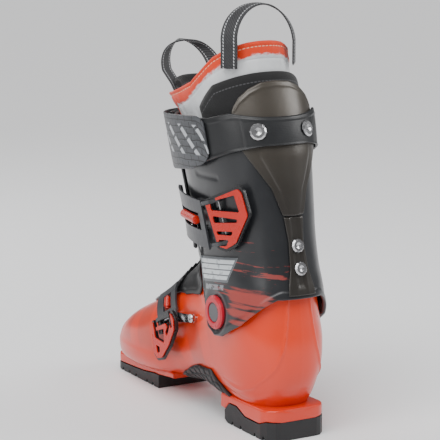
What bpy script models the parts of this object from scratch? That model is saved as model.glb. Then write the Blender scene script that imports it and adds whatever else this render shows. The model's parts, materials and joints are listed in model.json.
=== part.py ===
"""Left alpine ski boot, size 27.5: lower shell, hinged cuff, two lever buckles, strap and liner.

Frame: +Z up, toe towards -Y, outer (buckle) side towards +X.  The origin lies on the heel
pad's walking face.  Sizes below are in millimetres and are turned into metres in one place,
when a mesh is made.  The shell, the cuff and the liner are lofts.  Each row of their tables
is one rib: its front (or instep) point, its rear (or sole) point, its half width and how
square its front and rear halves are.  Everything that lies on them is placed by a rib number
and an angle round the rib: 0 at the front, 90 on the outer side, 180 at the rear.
"""
import math

import bmesh
import bpy
import numpy as np
from mathutils import Matrix, Vector

MM = 0.001

# ---------------------------------------------------------------- driving dimensions, mm
SOLE_LENGTH = 316.0
HEEL_Y = 37.0                        # rear end of the sole
TOE_Y = HEEL_Y - SOLE_LENGTH
TOE_LUG_TOP = 19.0
HEEL_LUG_TOP = 30.0
FLEX_PIVOT = (-34.0, 115.0)          # y and z of the cuff's hinge line, which runs along X
SHELL_WALL = 4.5
CUFF_WALL = 3.4
LINER_WALL = 6.0
LINER_OUT = -9.8                     # liner's outer face, from the shell's outer face
GAP = 0.3                            # left between solids that touch
PIVOT_RING_RADIUS = 16.5
PIVOT_CAP_RADIUS = 9.5
PIVOT_SHANK_RADIUS = 5.0

# front y, front z, rear y, rear z, half width, front squareness, rear squareness
SHELL_RIBS = (
    (-268, 36, -268, 20, 14, 2.4, 2.4),
    (-265, 50, -265, 15, 30, 2.4, 2.8),
    (-254, 65, -254, 14, 42, 2.3, 3.0),
    (-232, 79, -232, 14, 50, 2.2, 3.2),
    (-202, 93, -202, 14, 53.5, 2.1, 3.2),
    (-172, 108, -168, 16, 52, 2.1, 3.0),
    (-147, 125, -130, 24, 47, 2.1, 2.8),
    (-129, 140, -95, 27, 43.5, 2.2, 2.7),
    (-117, 151, -50, 20, 43, 2.2, 2.7),
    (-112, 156, 10, 18, 44, 2.2, 2.6),
    (-110, 159, 36, 50, 45.5, 2.3, 2.5),
    (-109, 162, 42, 80, 46.5, 2.3, 2.4),
    (-108, 165, 39, 112, 43.5, 2.3, 2.3),
    (-107, 168, 34, 148, 40.5, 2.3, 2.3),
    (-106, 180, 31, 162, 40.5, 2.3, 2.3),
)
SHELL_TOP = 13.0                     # the last rib that the shell itself reaches
CUFF_RIBS = (
    (-96, 108, 53, 60, 52, 2.5, 2.3),
    (-103, 130, 50, 86, 51.8, 2.5, 2.3),
    (-110, 152, 46, 112, 50.8, 2.5, 2.3),
    (-117, 172, 42.5, 138, 48.8, 2.35, 2.3),
    (-125, 192, 36, 160, 47.5, 2.2, 2.3),
    (-134, 216, 29, 186, 48.5, 2.2, 2.3),
    (-142, 242, 23, 214, 51, 2.2, 2.3),
    (-150, 270, 16, 248, 54, 2.2, 2.3),
    (-157, 298, 9, 282, 56.5, 2.2, 2.3),
    (-163, 322, 1, 306, 58, 2.2, 2.3),
    (-168, 344, -11, 335, 58, 2.2, 2.3),
    (-172, 364, -19, 360, 56, 2.2, 2.3),
)
# The liner's outer face: inside the shell below, inside the cuff above.
COLLAR_RIBS = (
    (-107, 172, 30, 148, 36, 2.2, 2.3),
    (-117, 194, 28, 162, 40, 2.2, 2.3),
    (-126, 218, 21, 188, 41.5, 2.2, 2.3),
    (-134, 244, 15, 216, 44, 2.2, 2.3),
    (-142, 272, 7.5, 250, 47, 2.2, 2.3),
    (-149, 298, -0.5, 284, 48.5, 2.3, 2.3),
    (-168, 319, -10, 308, 50, 2.8, 2.3),
    (-178, 337, -20, 337, 50, 2.9, 2.3),
    (-184, 352, -25, 360, 50, 2.8, 2.3),
    (-188, 366, -26, 380, 49, 2.6, 2.3),
)
# The cuff's lower edge seen from the side, as y and z: front, ear front, ear, rear.
CUFF_LOWER_EDGE = ((-135, 171), (-84, 164), (-69, 158), (-61, 147), (-57.5, 131), (-56, 109),
                   (-48, 97), (-34, 92), (-20, 94), (8, 110), (36, 137), (60, 139))
CUFF_UPPER_EDGE = ((-175, 296), (-60, 300), (10, 298))
COLLAR_LOWER_EDGE = ((-130, 190), (-40, 166), (40, 153))
COLLAR_UPPER_EDGE = ((-190, 312), (-160, 313), (-131, 318), (-112, 323), (-87, 332), (-74, 342),
                     (-56, 358), (-48, 363), (-31, 372), (-20, 377))
PADDING_LOWER_EDGE = ((-70, 285), (0, 285))
PADDING_UPPER_EDGE = ((-70, 304), (-62, 308), (-46, 332), (-30, 340), (-18, 346), (0, 347))
STRAP_LOWER_EDGE = ((-175, 247), (-110, 246), (-60, 253), (-20, 268), (12, 280))
STRAP_UPPER_EDGE = ((-175, 294), (-120, 297), (-36, 303), (-16, 309), (12, 305))

COLORS = {
    "shell orange": ((0.85, 0.11, 0.025), 0.35, 0.0),
    "cuff black": ((0.022, 0.024, 0.027), 0.42, 0.0),
    "spine bronze": ((0.06, 0.052, 0.044), 0.40, 0.2),
    "sole rubber": ((0.02, 0.02, 0.022), 0.75, 0.0),
    "soft black plastic": ((0.03, 0.032, 0.035), 0.55, 0.0),
    "buckle black": ((0.02, 0.02, 0.022), 0.35, 0.3),
    "buckle grey": ((0.09, 0.10, 0.11), 0.40, 0.6),
    "buckle red": ((0.85, 0.06, 0.03), 0.40, 0.2),
    "ring red": ((0.80, 0.02, 0.06), 0.35, 0.0),
    "cap grey": ((0.17, 0.17, 0.18), 0.45, 0.2),
    "polished steel": ((0.62, 0.63, 0.62), 0.22, 1.0),
    "liner fabric": ((0.80, 0.78, 0.74), 0.80, 0.0),
    "black padding": ((0.02, 0.02, 0.022), 0.80, 0.0),
    "webbing": ((0.03, 0.03, 0.033), 0.85, 0.0),
    "strap print": ((0.16, 0.17, 0.18), 0.70, 0.0),
    "foam": ((0.12, 0.12, 0.13), 0.90, 0.0),
}


# ---------------------------------------------------------------- lofts and edges
def rows_between(table, number):
    """Catmull-Rom blend of a table's rows at fractional row numbers."""
    table = np.asarray(table, float)
    number = np.asarray(number, float)
    last = len(table) - 1
    index = np.clip(np.floor(number).astype(int), 0, last - 1)
    f = (number - index)[..., None]
    before, start = table[np.maximum(index - 1, 0)], table[index]
    stop, after = table[index + 1], table[np.minimum(index + 2, last)]
    slope_0, slope_1 = (stop - before) / 2, (after - start) / 2
    return ((2 * f**3 - 3 * f**2 + 1) * start + (f**3 - 2 * f**2 + f) * slope_0
            + (3 * f**2 - 2 * f**3) * stop + (f**3 - f**2) * slope_1)


def rib_points(table, number, degrees, out=0.0):
    """Points on a loft: superellipses |x/w|^q + |a/L|^q = 1, grown outwards by out."""
    number, degrees, out = np.broadcast_arrays(number, degrees, out)
    rows = rows_between(table, number)
    front_y, front_z, rear_y, rear_z, half_width, q_front, q_rear = np.moveaxis(rows, -1, 0)
    angle = np.radians(degrees)
    c, s = np.cos(angle), np.sin(angle)
    power = 2 / np.where(c > 0, q_front, q_rear)
    length = np.hypot(front_y - rear_y, front_z - rear_z) / 2
    along = np.sign(c) * np.abs(c) ** power * (length + out)
    x = np.sign(s) * np.abs(s) ** power * (half_width + out)
    y = (front_y + rear_y) / 2 + (front_y - rear_y) / (2 * length) * along
    z = (front_z + rear_z) / 2 + (front_z - rear_z) / (2 * length) * along
    return np.stack([x, y, z], -1)


def rib_where(table, degrees, height, out=0.0):
    """Rib number where a loft reaches a height, given as an edge's (y, z) points or as z values."""
    low, high = np.zeros(np.shape(degrees)), np.full(np.shape(degrees), len(table) - 1.0)
    for _ in range(30):
        middle = (low + high) / 2
        point = rib_points(table, middle, degrees, out)
        goal = height
        if isinstance(height, (tuple, list)):
            goal = np.interp(point[..., 1], *np.transpose(height))
        low = np.where(point[..., 2] < goal, middle, low)
        high = np.where(point[..., 2] < goal, high, middle)
    return (low + high) / 2


def ramp(value, start, end):
    """Smooth step from 0 at start to 1 at end."""
    f = np.clip((np.asarray(value, float) - start) / (end - start), 0, 1)
    return f * f * (3 - 2 * f)


def band_numbers(table, degrees, lower, upper, out, steps):
    """Rib numbers of a grid between two edges, one column for each angle."""
    start = rib_where(table, degrees, lower, out)
    end = rib_where(table, degrees, upper, out)
    return start + (end - start) * np.linspace(0, 1, steps + 1)[:, None]


def surface_frame(table, number, degrees):
    """Matrix on a loft: local X towards the rear round the rib, Y up, Z outwards."""
    p = rib_points(table, number, degrees)
    round_step = rib_points(table, number, degrees + 2) - p
    up_step = rib_points(table, number + 0.05, degrees) - p
    x = Vector(round_step).normalized()
    z = x.cross(Vector(up_step)).normalized()
    y = z.cross(x)
    return frame_matrix(p, x, y, z)


def frame_matrix(place, x, y, z):
    matrix = Matrix((x, y, z)).transposed().to_4x4()
    matrix.translation = Vector(place) * MM
    return matrix


def facing(place, normal, along):
    """Matrix with local Z along normal and local X as near to along as it can be."""
    z = Vector(normal).normalized()
    y = z.cross(Vector(along)).normalized()
    return frame_matrix(place, y.cross(z), y, z)


# ---------------------------------------------------------------- scene and mesh helpers
def new_collection(name):
    collection = bpy.data.collections.new(name)
    bpy.context.scene.collection.children.link(collection)
    return collection


for old in list(bpy.data.objects):
    bpy.data.objects.remove(old)
BOOT = new_collection("alpine_ski_boot")
CUTTERS = new_collection("cutters")


def finish(color_name):
    material = bpy.data.materials.get(color_name)
    if material is None:
        color, roughness, metallic = COLORS[color_name]
        material = bpy.data.materials.new(color_name)
        material.use_nodes = True
        shader = material.node_tree.nodes["Principled BSDF"]
        shader.inputs["Base Color"].default_value = (*color, 1)
        shader.inputs["Roughness"].default_value = roughness
        shader.inputs["Metallic"].default_value = metallic
    return material


def add_object(name, mesh, color_name, collection=None):
    """Object from a mesh in metres, in the boot's collection unless another is given."""
    obj = bpy.data.objects.new(name, mesh)
    (collection or BOOT).objects.link(obj)
    if collection is CUTTERS:
        obj.hide_render = True
        obj.display_type = "WIRE"
    if color_name:
        mesh.materials.clear()
        mesh.materials.append(finish(color_name))
    return obj


def mesh_from(points, faces, name="shape"):
    mesh = bpy.data.meshes.new(name)
    mesh.from_pydata((np.asarray(points).reshape(-1, 3) * MM).tolist(), [], faces)
    mesh.update()
    return mesh


def grid_faces(rows, columns, closed=False, flip=False):
    """Quads of a grid; closed joins its last column to its first."""
    r, c = np.meshgrid(np.arange(rows - 1), np.arange(columns - (not closed)), indexing="ij")
    after = (c + 1) % columns
    quads = np.stack([r * columns + c, r * columns + after,
                      (r + 1) * columns + after, (r + 1) * columns + c], -1).reshape(-1, 4)
    return (quads[:, ::-1] if flip else quads).tolist()


def smooth(obj, angle=35):
    obj.data.shade_smooth()
    obj.data.set_sharp_from_angle(angle=math.radians(angle))
    return obj


def outward(obj):
    """Turn the faces of a closed mesh outwards."""
    mesh = bmesh.new()
    mesh.from_mesh(obj.data)
    bmesh.ops.recalc_face_normals(mesh, faces=mesh.faces)
    mesh.to_mesh(obj.data)
    mesh.free()
    return obj


def tube(name, grid, color_name=None, collection=None):
    """Closed solid through ribs of points, with a flat face at each end."""
    rows, columns = grid.shape[:2]
    faces = grid_faces(rows, columns, closed=True)
    faces += [list(range(columns))[::-1], [(rows - 1) * columns + k for k in range(columns)]]
    obj = add_object(name, mesh_from(grid, faces, name), color_name, collection)
    return smooth(outward(obj))


def settle(obj):
    """Replace an object's mesh by its evaluated mesh and drop its modifiers."""
    evaluated = obj.evaluated_get(bpy.context.evaluated_depsgraph_get())
    mesh = bpy.data.meshes.new_from_object(evaluated)
    obj.modifiers.clear()
    obj.data = mesh
    return obj


def boolean(obj, cutter, operation="DIFFERENCE"):
    step = obj.modifiers.new(cutter.name, "BOOLEAN")
    step.operation = operation
    step.solver = "EXACT"
    step.object = cutter
    return obj


def turned(profile, steps=24):
    """Mesh of a profile (radius, height), listed from top to bottom, turned about Z."""
    mesh = mesh_from([(r, 0, z) for r, z in profile], [])
    mesh.edges.add(len(profile) - 1)
    for k, edge in enumerate(mesh.edges):
        edge.vertices = (k, k + 1)
    obj = add_object("profile", mesh, None, CUTTERS)
    screw = obj.modifiers.new("turn", "SCREW")
    screw.axis = "Z"
    screw.steps = screw.render_steps = steps
    screw.use_merge_vertices = True
    screw.merge_threshold = 0.00001
    settle(obj)
    mesh = obj.data
    bpy.data.objects.remove(obj)
    return mesh


def group(name, mesh, matrices, color_name, collection=None):
    """One object that holds a copy of a mesh at each matrix, as separate bodies."""
    joined = bmesh.new()
    for matrix in matrices:
        count = len(joined.verts)
        joined.from_mesh(mesh)
        joined.verts.ensure_lookup_table()
        bmesh.ops.transform(joined, matrix=matrix, verts=joined.verts[count:])
    result = bpy.data.meshes.new(name)
    joined.to_mesh(result)
    joined.free()
    return smooth(add_object(name, result, color_name, collection))


def placed(name, mesh, matrices, color_name):
    """One object for each matrix, all with the same mesh; numbered if there are several."""
    for k, matrix in enumerate(matrices):
        obj = add_object(name if len(matrices) == 1 else f"{name}_{k + 1}", mesh, color_name)
        obj.matrix_world = matrix
        smooth(obj)


def plate(outline, thickness, holes=(), bevel=0.0):
    """Mesh of a flat outline with holes, lying on z = 0 and as thick as asked."""
    curve = bpy.data.curves.new("outline", "CURVE")
    curve.dimensions = "2D"
    curve.fill_mode = "BOTH"
    curve.extrude = (thickness / 2 - bevel) * MM
    curve.bevel_depth = bevel * MM
    curve.bevel_resolution = 0
    for points in (outline, *holes):
        spline = curve.splines.new("POLY")
        spline.points.add(len(points) - 1)
        for point, (x, y) in zip(spline.points, points):
            point.co = (x * MM, y * MM, 0, 1)
        spline.use_cyclic_u = True
    obj = bpy.data.objects.new("outline", curve)
    CUTTERS.objects.link(obj)
    mesh = bpy.data.meshes.new_from_object(
        obj.evaluated_get(bpy.context.evaluated_depsgraph_get()))
    bpy.data.objects.remove(obj)
    clean = bmesh.new()
    clean.from_mesh(mesh)
    bmesh.ops.remove_doubles(clean, verts=clean.verts, dist=0.00001)
    bmesh.ops.translate(clean, verts=clean.verts, vec=(0, 0, thickness / 2 * MM))
    bmesh.ops.recalc_face_normals(clean, faces=clean.faces)
    clean.to_mesh(mesh)
    clean.free()
    return mesh


def rounded(points, radius, steps=3):
    """Outline with each corner replaced by an arc of the radius, or of its own radius."""
    result = []
    count = len(points)
    for k, corner in enumerate(points):
        own = corner[2] if len(corner) > 2 else radius
        here = Vector(corner[:2])
        before = (Vector(points[k - 1][:2]) - here).normalized()
        after = (Vector(points[(k + 1) % count][:2]) - here).normalized()
        half = before.angle(after) / 2
        centre = here + (before + after).normalized() * own / math.sin(half)
        first = here + before * own / math.tan(half) - centre
        last = here + after * own / math.tan(half) - centre
        turn = first.angle_signed(last)
        for step in range(steps + 1):
            arm = first.copy()
            arm.rotate(Matrix.Rotation(-turn * step / steps, 2))
            result.append(tuple(centre + arm))
    return result


def box_mesh(low, high):
    """Mesh of a box between two corners in millimetres."""
    shape = bmesh.new()
    size = Vector(high) - Vector(low)
    middle = (Vector(high) + Vector(low)) / 2
    bmesh.ops.create_cube(shape, size=1, matrix=Matrix.Translation(middle * MM)
                          @ Matrix.Diagonal((*(size * MM), 1)))
    mesh = bpy.data.meshes.new("box")
    shape.to_mesh(mesh)
    shape.free()
    return mesh


def across(outline, half_width):
    """Mesh of a side-view outline (y, z) that runs across the boot."""
    mesh = plate(outline, 2 * half_width)
    mesh.transform(Matrix(((0, 0, 1, -half_width * MM), (1, 0, 0, 0), (0, 1, 0, 0), (0, 0, 0, 1))))
    return mesh


def slab(name, outer, inner, color_name, collection=None):
    """Closed solid between two grids of points with the same rows and columns."""
    rows, columns = outer.shape[:2]
    count = rows * columns
    top = grid_faces(rows, columns)
    faces = top + [[k + count for k in face[::-1]] for face in top]
    rim = [*range(columns), *range(2 * columns - 1, count, columns),
           *range(count - 2, count - columns - 1, -1), *range(count - 2 * columns, 0, -columns)]
    faces += [[b, a, a + count, b + count] for a, b in zip(rim, rim[1:] + rim[:1])]
    obj = add_object(name, mesh_from(np.concatenate([outer.reshape(-1, 3), inner.reshape(-1, 3)]),
                                     faces, name), color_name, collection)
    return smooth(outward(obj))


# ---------------------------------------------------------------- fasteners
# Fasteners: rib number, angle, and how far out of the loft the head sits.
SPINE_SCREWS = ((5.0, 180, 3.2), (4.2, 180, 3.2))
STRAP_RIVETS = ((8.35, 157, 6.3), (8.35, 200, 6.3))
BUCKLE_RIVETS = ((5.55, 90, 2.4), (4.75, 90, 2.4))
RACK_RIVETS = ((4.0, 377.5, 4.8), (4.45, 377.5, 4.8))
CUFF_FASTENERS = (*SPINE_SCREWS, *STRAP_RIVETS, *BUCKLE_RIVETS, *RACK_RIVETS)
LOWER_RIVET = (8.04, 82, 4.9)
LADDER_RIVET = (7.31, -72, 5.2)
SHANK = 2.0


def fastener_place(number, degrees, out, table=CUFF_RIBS):
    return surface_frame(table, number, degrees) @ Matrix.Translation((0, 0, out * MM))


def through_holes(places, table=CUFF_RIBS):
    """Cutter with a hole along every fastener."""
    hole = turned([(0, 12), (SHANK + GAP, 12), (SHANK + GAP, -22), (0, -22)], 8)
    return group("fastener_holes", hole, [fastener_place(*p, table) for p in places], None, CUTTERS)


# ---------------------------------------------------------------- lower shell and sole
HEEL_PAD_TOP = ((-46, 12.5), (-38, 20), (-24, 20.5), (-8, 14), (18, 14), (28, 18), (37, 18))
TOE_PAD_TOP = ((-279, 8), (-255, 8.5), (-216, 10.5), (-193, 13.5), (-182, 14))
HEEL_PLAN = ((-33.5, 38, 17), (33.5, 38, 17), (33.5, -55, 4), (-33.5, -55, 4))
TOE_PLAN = ((-34.5, -280, 12), (34.5, -280, 12), (34.5, -148, 4), (-34.5, -148, 4))
TREAD_DEPTH = 3.5
TREAD_SLOT = 4.0
HEEL_TREADS = (-31, -15, 11, 25)
TOE_TREADS = (-263, -248, -233, -208, -195)
SCREW_PLACES = ((-18, 22), (18, 22), (-20, -37), (20, -37),
                (-20, -255), (20, -255), (-22, -201.5), (22, -201.5))
SCREW_HEAD_RADIUS = 4.0


def tread(start, end, slots, lift):
    """Walking side of a pad as (y, z), from start to end, with slots across the boot."""
    line = [(start, lift), (start + 6, 0)]
    for y in slots:
        line += [(y - TREAD_SLOT / 2, 0), (y - TREAD_SLOT / 2 + 1, TREAD_DEPTH),
                 (y + TREAD_SLOT / 2 - 1, TREAD_DEPTH), (y + TREAD_SLOT / 2, 0)]
    return line + [(end, 0)]


def sole_block(name, profile, plan, color_name, collection=None):
    """A side-view profile carried across the boot and trimmed to a plan outline."""
    block = add_object(name, across(profile, 60), color_name, collection)
    trim_mesh = plate(rounded(plan, 5), 80)
    trim_mesh.transform(Matrix.Translation((0, 0, -20 * MM)))
    trim = add_object(name + "_plan", trim_mesh, None, CUTTERS)
    return smooth(settle(boolean(block, trim, "INTERSECT")))


def raised(line, lift):
    return [(y, z + lift) for y, z in line]


def screw_mesh(radius, length, head_length):
    """Cap screw, head at z = 0 and shank up, with a recess in its head."""
    return turned([(0, length), (radius * 0.5, length), (radius * 0.5, head_length),
                   (radius, head_length), (radius, 0), (radius * 0.45, 0),
                   (radius * 0.45, 1.2), (0, 1.2)], 8)


SHELL_COLUMNS = np.linspace(0, 360, 25)[:-1]
SHELL_ROWS = np.linspace(0, SHELL_TOP, 20)[:, None]


def clear_of_shell(obj, gap=GAP):
    """Cut away what comes closer to the shell than the gap."""
    grown = tube(obj.name + "_clearance", rib_points(SHELL_RIBS, SHELL_ROWS, SHELL_COLUMNS, gap),
                 None, CUTTERS)
    return boolean(obj, grown)


def make_lower_shell():
    columns = SHELL_COLUMNS
    shell = tube("lower_shell", rib_points(SHELL_RIBS, SHELL_ROWS, columns), "shell orange")
    heel_profile = raised(((-53, 13.2), *HEEL_PAD_TOP), GAP) + [(37, HEEL_LUG_TOP), (-53, 28)]
    toe_profile = raised((*TOE_PAD_TOP, (-150, 17.5)), GAP) + [(-150, 24), (-240, TOE_LUG_TOP + 4),
                                                             (-266, TOE_LUG_TOP),
                                                             (-279, TOE_LUG_TOP)]
    for name, profile, plan in (("heel_lug", heel_profile, HEEL_PLAN),
                                ("toe_lug", toe_profile, TOE_PLAN)):
        boolean(shell, sole_block(name, profile, plan, None, CUTTERS), "UNION")
    cavity = tube("cavity", rib_points(SHELL_RIBS, np.linspace(1.3, 14, 18)[:, None], columns,
                                       -SHELL_WALL), None, CUTTERS)
    boolean(shell, cavity)
    rows = np.linspace(4.8, 14, 9)[:, None]
    arc = np.linspace(-26, 26, 4)
    throat = slab("throat", rib_points(SHELL_RIBS, rows, arc, 9),
                  rib_points(SHELL_RIBS, rows, arc, -14), None, CUTTERS)
    boolean(shell, throat)
    holes = group("screw_holes", turned([(0, 26), (2.4, 26), (2.4, -1), (0, -1)], 8),
                  [Matrix.Translation((x * MM, y * MM, 0)) for x, y in SCREW_PLACES],
                  None, CUTTERS)
    boolean(shell, holes)
    boolean(shell, through_holes([LOWER_RIVET, LADDER_RIVET], SHELL_RIBS))
    for side, name in ((1, "outer"), (-1, "inner")):
        bore = turned([(0, 60), (PIVOT_SHANK_RADIUS + 0.05, 60), (PIVOT_SHANK_RADIUS + 0.05, 25),
                       (0, 25)], 20)
        place = facing((0, *FLEX_PIVOT), (side, 0, 0), (0, 1, 0))
        boolean(shell, group("pivot_bore_" + name, bore, [place], None, CUTTERS))
    return smooth(settle(shell))


def make_sole_pads():
    wells = [Matrix.Translation((x * MM, y * MM, 0)) for x, y in SCREW_PLACES]
    well = turned([(0, 30), (2.5, 30), (2.5, 8.3), (SCREW_HEAD_RADIUS + GAP, 8.3),
                   (SCREW_HEAD_RADIUS + GAP, -1), (0, -1)], 8)
    cutter = group("screw_wells", well, wells, None, CUTTERS)
    for name, top, treads, plan, lift, start in (
            ("heel_sole_pad", HEEL_PAD_TOP, HEEL_TREADS, HEEL_PLAN, 3, -46),
            ("toe_sole_pad", TOE_PAD_TOP, TOE_TREADS, TOE_PLAN, 4, TOE_Y)):
        end = top[-1][0]
        profile = tread(start, end, treads, lift) + list(top[::-1])
        pad = sole_block(name, profile, plan, "sole rubber")
        smooth(settle(clear_of_shell(boolean(pad, cutter))))
    screws = [Matrix.Translation((x * MM, y * MM, 5 * MM)) for x, y in SCREW_PLACES]
    placed("sole_screw", screw_mesh(SCREW_HEAD_RADIUS, 12, 3), screws, "polished steel")


def make_arch_pad():
    """Ribbed rubber that wraps the waist of the sole, between the two pads."""
    number = np.array((5.95, 6.25, 6.6, 7.1, 7.7, 8.13, 8.34))[:, None]
    side = np.interp(number, (5.95, 6.6, 7.4, 8.13, 8.34), (146, 133, 119, 114, 140))
    degrees = side + (360 - 2 * side) * np.linspace(0, 1, 11)
    pad = slab("arch_sole_pad", rib_points(SHELL_RIBS, number, degrees, 3.4),
               rib_points(SHELL_RIBS, number, degrees, -1), "sole rubber")
    lug_space = add_object("lug_space", box_mesh((-34, -54, -5), (34, 60, 40)), None, CUTTERS)
    return smooth(settle(clear_of_shell(boolean(pad, lug_space))))


def make_instep_cover():
    """Soft cover over the shell's throat, from the toe box to under the cuff."""
    number = np.array((3.1, 3.35, 3.7, 4.2, 5, 6, 7, 8.3, 9.7, 11.2, 12.8))[:, None]
    reach = np.interp(number, (3.1, 3.4, 4, 5.5, 7.5, 10, 11.2, 12.8), (7, 17, 27, 46, 63, 62, 48, 46))
    degrees = reach * np.linspace(-1, 1, 9)
    cover = slab("instep_cover", rib_points(SHELL_RIBS, number, degrees, 2.8),
                 rib_points(SHELL_RIBS, number, degrees, -1), "soft black plastic")
    return smooth(settle(clear_of_shell(cover, 2 * GAP)))


# ---------------------------------------------------------------- inside the lower shell
def make_boot_board():
    """Board on the shell's floor that the liner stands on."""
    number = np.linspace(1.9, 8.1, 12)[:, None]
    degrees = np.linspace(144, 216, 7)
    return slab("boot_board", rib_points(SHELL_RIBS, number, degrees, -5.9),
                rib_points(SHELL_RIBS, number, degrees, -7.7), "foam")


def make_liner_foot():
    """Foot of the inner boot, open at the ankle."""
    columns = np.linspace(0, 360, 19)[:-1]
    foot = tube("liner_foot", rib_points(SHELL_RIBS, np.linspace(1.7, 12.5, 12)[:, None], columns,
                                         LINER_OUT), "foam")
    hollow = tube("foot_hollow", rib_points(SHELL_RIBS, np.linspace(2.1, 13.5, 16)[:, None],
                                            columns, LINER_OUT - LINER_WALL), None, CUTTERS)
    return smooth(settle(boolean(foot, hollow)))


def make_footbed():
    number = np.linspace(2.7, 9.0, 9)[:, None]
    degrees = np.linspace(146, 214, 5)
    out = LINER_OUT - LINER_WALL - 6 * GAP
    return slab("footbed", rib_points(SHELL_RIBS, number, degrees, out - 3),
                rib_points(SHELL_RIBS, number, degrees, out), "black padding")


# ---------------------------------------------------------------- pivots
PIVOT_FLOOR = 49.9                   # x of the recess that each pivot ring sits in
PIVOT_SIDES = (("outer", 1), ("inner", -1))


def pivot_place(side):
    return facing((0, *FLEX_PIVOT), (side, 0, 0), (0, 1, 0))


def make_pivots():
    places = [pivot_place(side) for _, side in PIVOT_SIDES]
    seat = PIVOT_FLOOR + GAP
    radius, inner = PIVOT_RING_RADIUS, PIVOT_CAP_RADIUS + GAP
    ring = turned([(inner, seat + 3.4), (inner + 1, seat + 3.8), (radius - 2, seat + 3.8),
                   (radius, seat + 2.4), (radius, seat), (inner, seat), (inner, seat + 3.4)], 24)
    for (name, _), place in zip(PIVOT_SIDES, places):
        placed(name + "_pivot_ring", ring.copy(), [place], "ring red")
    cap = turned([(0, seat + 3.0), (PIVOT_CAP_RADIUS - 0.8, seat + 3.0),
                  (PIVOT_CAP_RADIUS, seat + 2.4), (PIVOT_CAP_RADIUS, seat),
                  (PIVOT_SHANK_RADIUS, seat), (PIVOT_SHANK_RADIUS, 37.6), (0, 37.6)], 20)
    placed("pivot_screw", cap, places, "cap grey")
    bore = PIVOT_SHANK_RADIUS + GAP
    nut = turned([(bore, 40.6), (9, 40.6), (9, 37.9), (bore, 37.9), (bore, 40.6)], 12)
    placed("pivot_nut", nut, places, "polished steel")


# ---------------------------------------------------------------- cuff
CUFF_INNER_FLAP = 12                 # angle where the flap underneath starts
CUFF_OUTER_FLAP = 408                # angle where the flap on top ends, one turn later
FLAP_STEP = 2.6


def cuff_lift(degrees):
    """Step out of the outer flap and step in of the flap under it."""
    return FLAP_STEP * (ramp(degrees, 300, 345) - 1 + ramp(degrees, 35, 80))


def make_cuff():
    degrees = np.concatenate([np.linspace(CUFF_INNER_FLAP, 72, 6), np.linspace(80, 120, 7),
                              np.linspace(132, 228, 9), np.linspace(240, 280, 6),
                              np.linspace(292, CUFF_OUTER_FLAP, 10)])
    lift = cuff_lift(degrees)
    number = band_numbers(CUFF_RIBS, degrees, CUFF_LOWER_EDGE, CUFF_UPPER_EDGE, lift, 9)
    cuff = slab("cuff", rib_points(CUFF_RIBS, number, degrees, lift),
                rib_points(CUFF_RIBS, number, degrees, lift - CUFF_WALL), "cuff black")
    recess = turned([(0, 70), (PIVOT_RING_RADIUS + GAP, 70), (PIVOT_RING_RADIUS + GAP, PIVOT_FLOOR),
                     (PIVOT_SHANK_RADIUS + GAP, PIVOT_FLOOR), (PIVOT_SHANK_RADIUS + GAP, 30),
                     (0, 30)], 24)
    boolean(cuff, group("pivot_recesses", recess, [pivot_place(s) for _, s in PIVOT_SIDES],
                        None, CUTTERS))
    boolean(cuff, through_holes(CUFF_FASTENERS))
    return smooth(settle(clear_of_shell(cuff, 2 * GAP)))


def rivet_mesh(radius, height, shank):
    """Round head on local z = 0 with a dished middle, and a shank below."""
    return turned([(0, height * 0.5), (radius * 0.45, height), (radius * 0.8, height),
                   (radius, height * 0.4), (radius, 0), (SHANK, 0), (SHANK, -shank),
                   (0, -shank)], 12)


def make_spine():
    """Rear spoiler with its tapering spine, and the strut screwed on below it."""
    degrees = np.linspace(137, 223, 15)
    aside = np.abs(degrees - 180)
    top = np.interp(aside, (0, 12, 24, 34, 40, 43), (338, 336.5, 331, 323, 315, 309))
    foot = np.interp(aside, (0, 9.5, 12, 17, 36, 43), (214, 214.5, 222, 239, 269, 281))
    number = band_numbers(CUFF_RIBS, degrees, foot, top, 3, 7)
    spoiler = slab("rear_spoiler", rib_points(CUFF_RIBS, number, degrees, 3.0),
                   rib_points(CUFF_RIBS, number, degrees, GAP), "spine bronze")
    smooth(settle(boolean(spoiler, through_holes(STRAP_RIVETS))))

    height = np.linspace(141, 213, 8)[:, None]
    half = np.interp(height, (141, 150, 165, 190, 213), (14, 13, 9, 7, 9))
    degrees = 180 + half * np.linspace(-1, 1, 5)
    number = rib_where(CUFF_RIBS, degrees, height + 0 * degrees, 3)
    strut = slab("rear_strut", rib_points(CUFF_RIBS, number, degrees, 2.9),
                 rib_points(CUFF_RIBS, number, degrees, GAP), "spine bronze")
    smooth(settle(boolean(strut, through_holes(SPINE_SCREWS))))
    placed("spine_screw", rivet_mesh(6.6, 2.4, 6.5), [fastener_place(*p) for p in SPINE_SCREWS],
           "polished steel")


# ---------------------------------------------------------------- strap
STRAP_OUT = 3.8
STRAP_THICKNESS = 2.2


def make_power_strap():
    degrees = np.concatenate([np.linspace(64, 130, 6), np.linspace(142, 218, 8),
                              np.linspace(230, 415, 16)])
    number = band_numbers(CUFF_RIBS, degrees, STRAP_LOWER_EDGE, STRAP_UPPER_EDGE, STRAP_OUT, 3)
    strap = slab("power_strap", rib_points(CUFF_RIBS, number, degrees, STRAP_OUT + STRAP_THICKNESS),
                 rib_points(CUFF_RIBS, number, degrees, STRAP_OUT), "webbing")
    smooth(settle(boolean(strap, through_holes(STRAP_RIVETS))))
    placed("strap_rivet", rivet_mesh(8, 2.2, 9.4), [fastener_place(*p) for p in STRAP_RIVETS],
           "polished steel")

    degrees = np.linspace(-30, 112, 16)
    number = band_numbers(CUFF_RIBS, degrees, raised(STRAP_LOWER_EDGE, -1.5),
                          raised(STRAP_UPPER_EDGE, 2), STRAP_OUT + 6, 4)
    inner = STRAP_OUT + STRAP_THICKNESS + 2 * GAP
    return slab("strap_pad", rib_points(CUFF_RIBS, number, degrees, inner + 2.8),
                rib_points(CUFF_RIBS, number, degrees, inner), "strap print")


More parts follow.
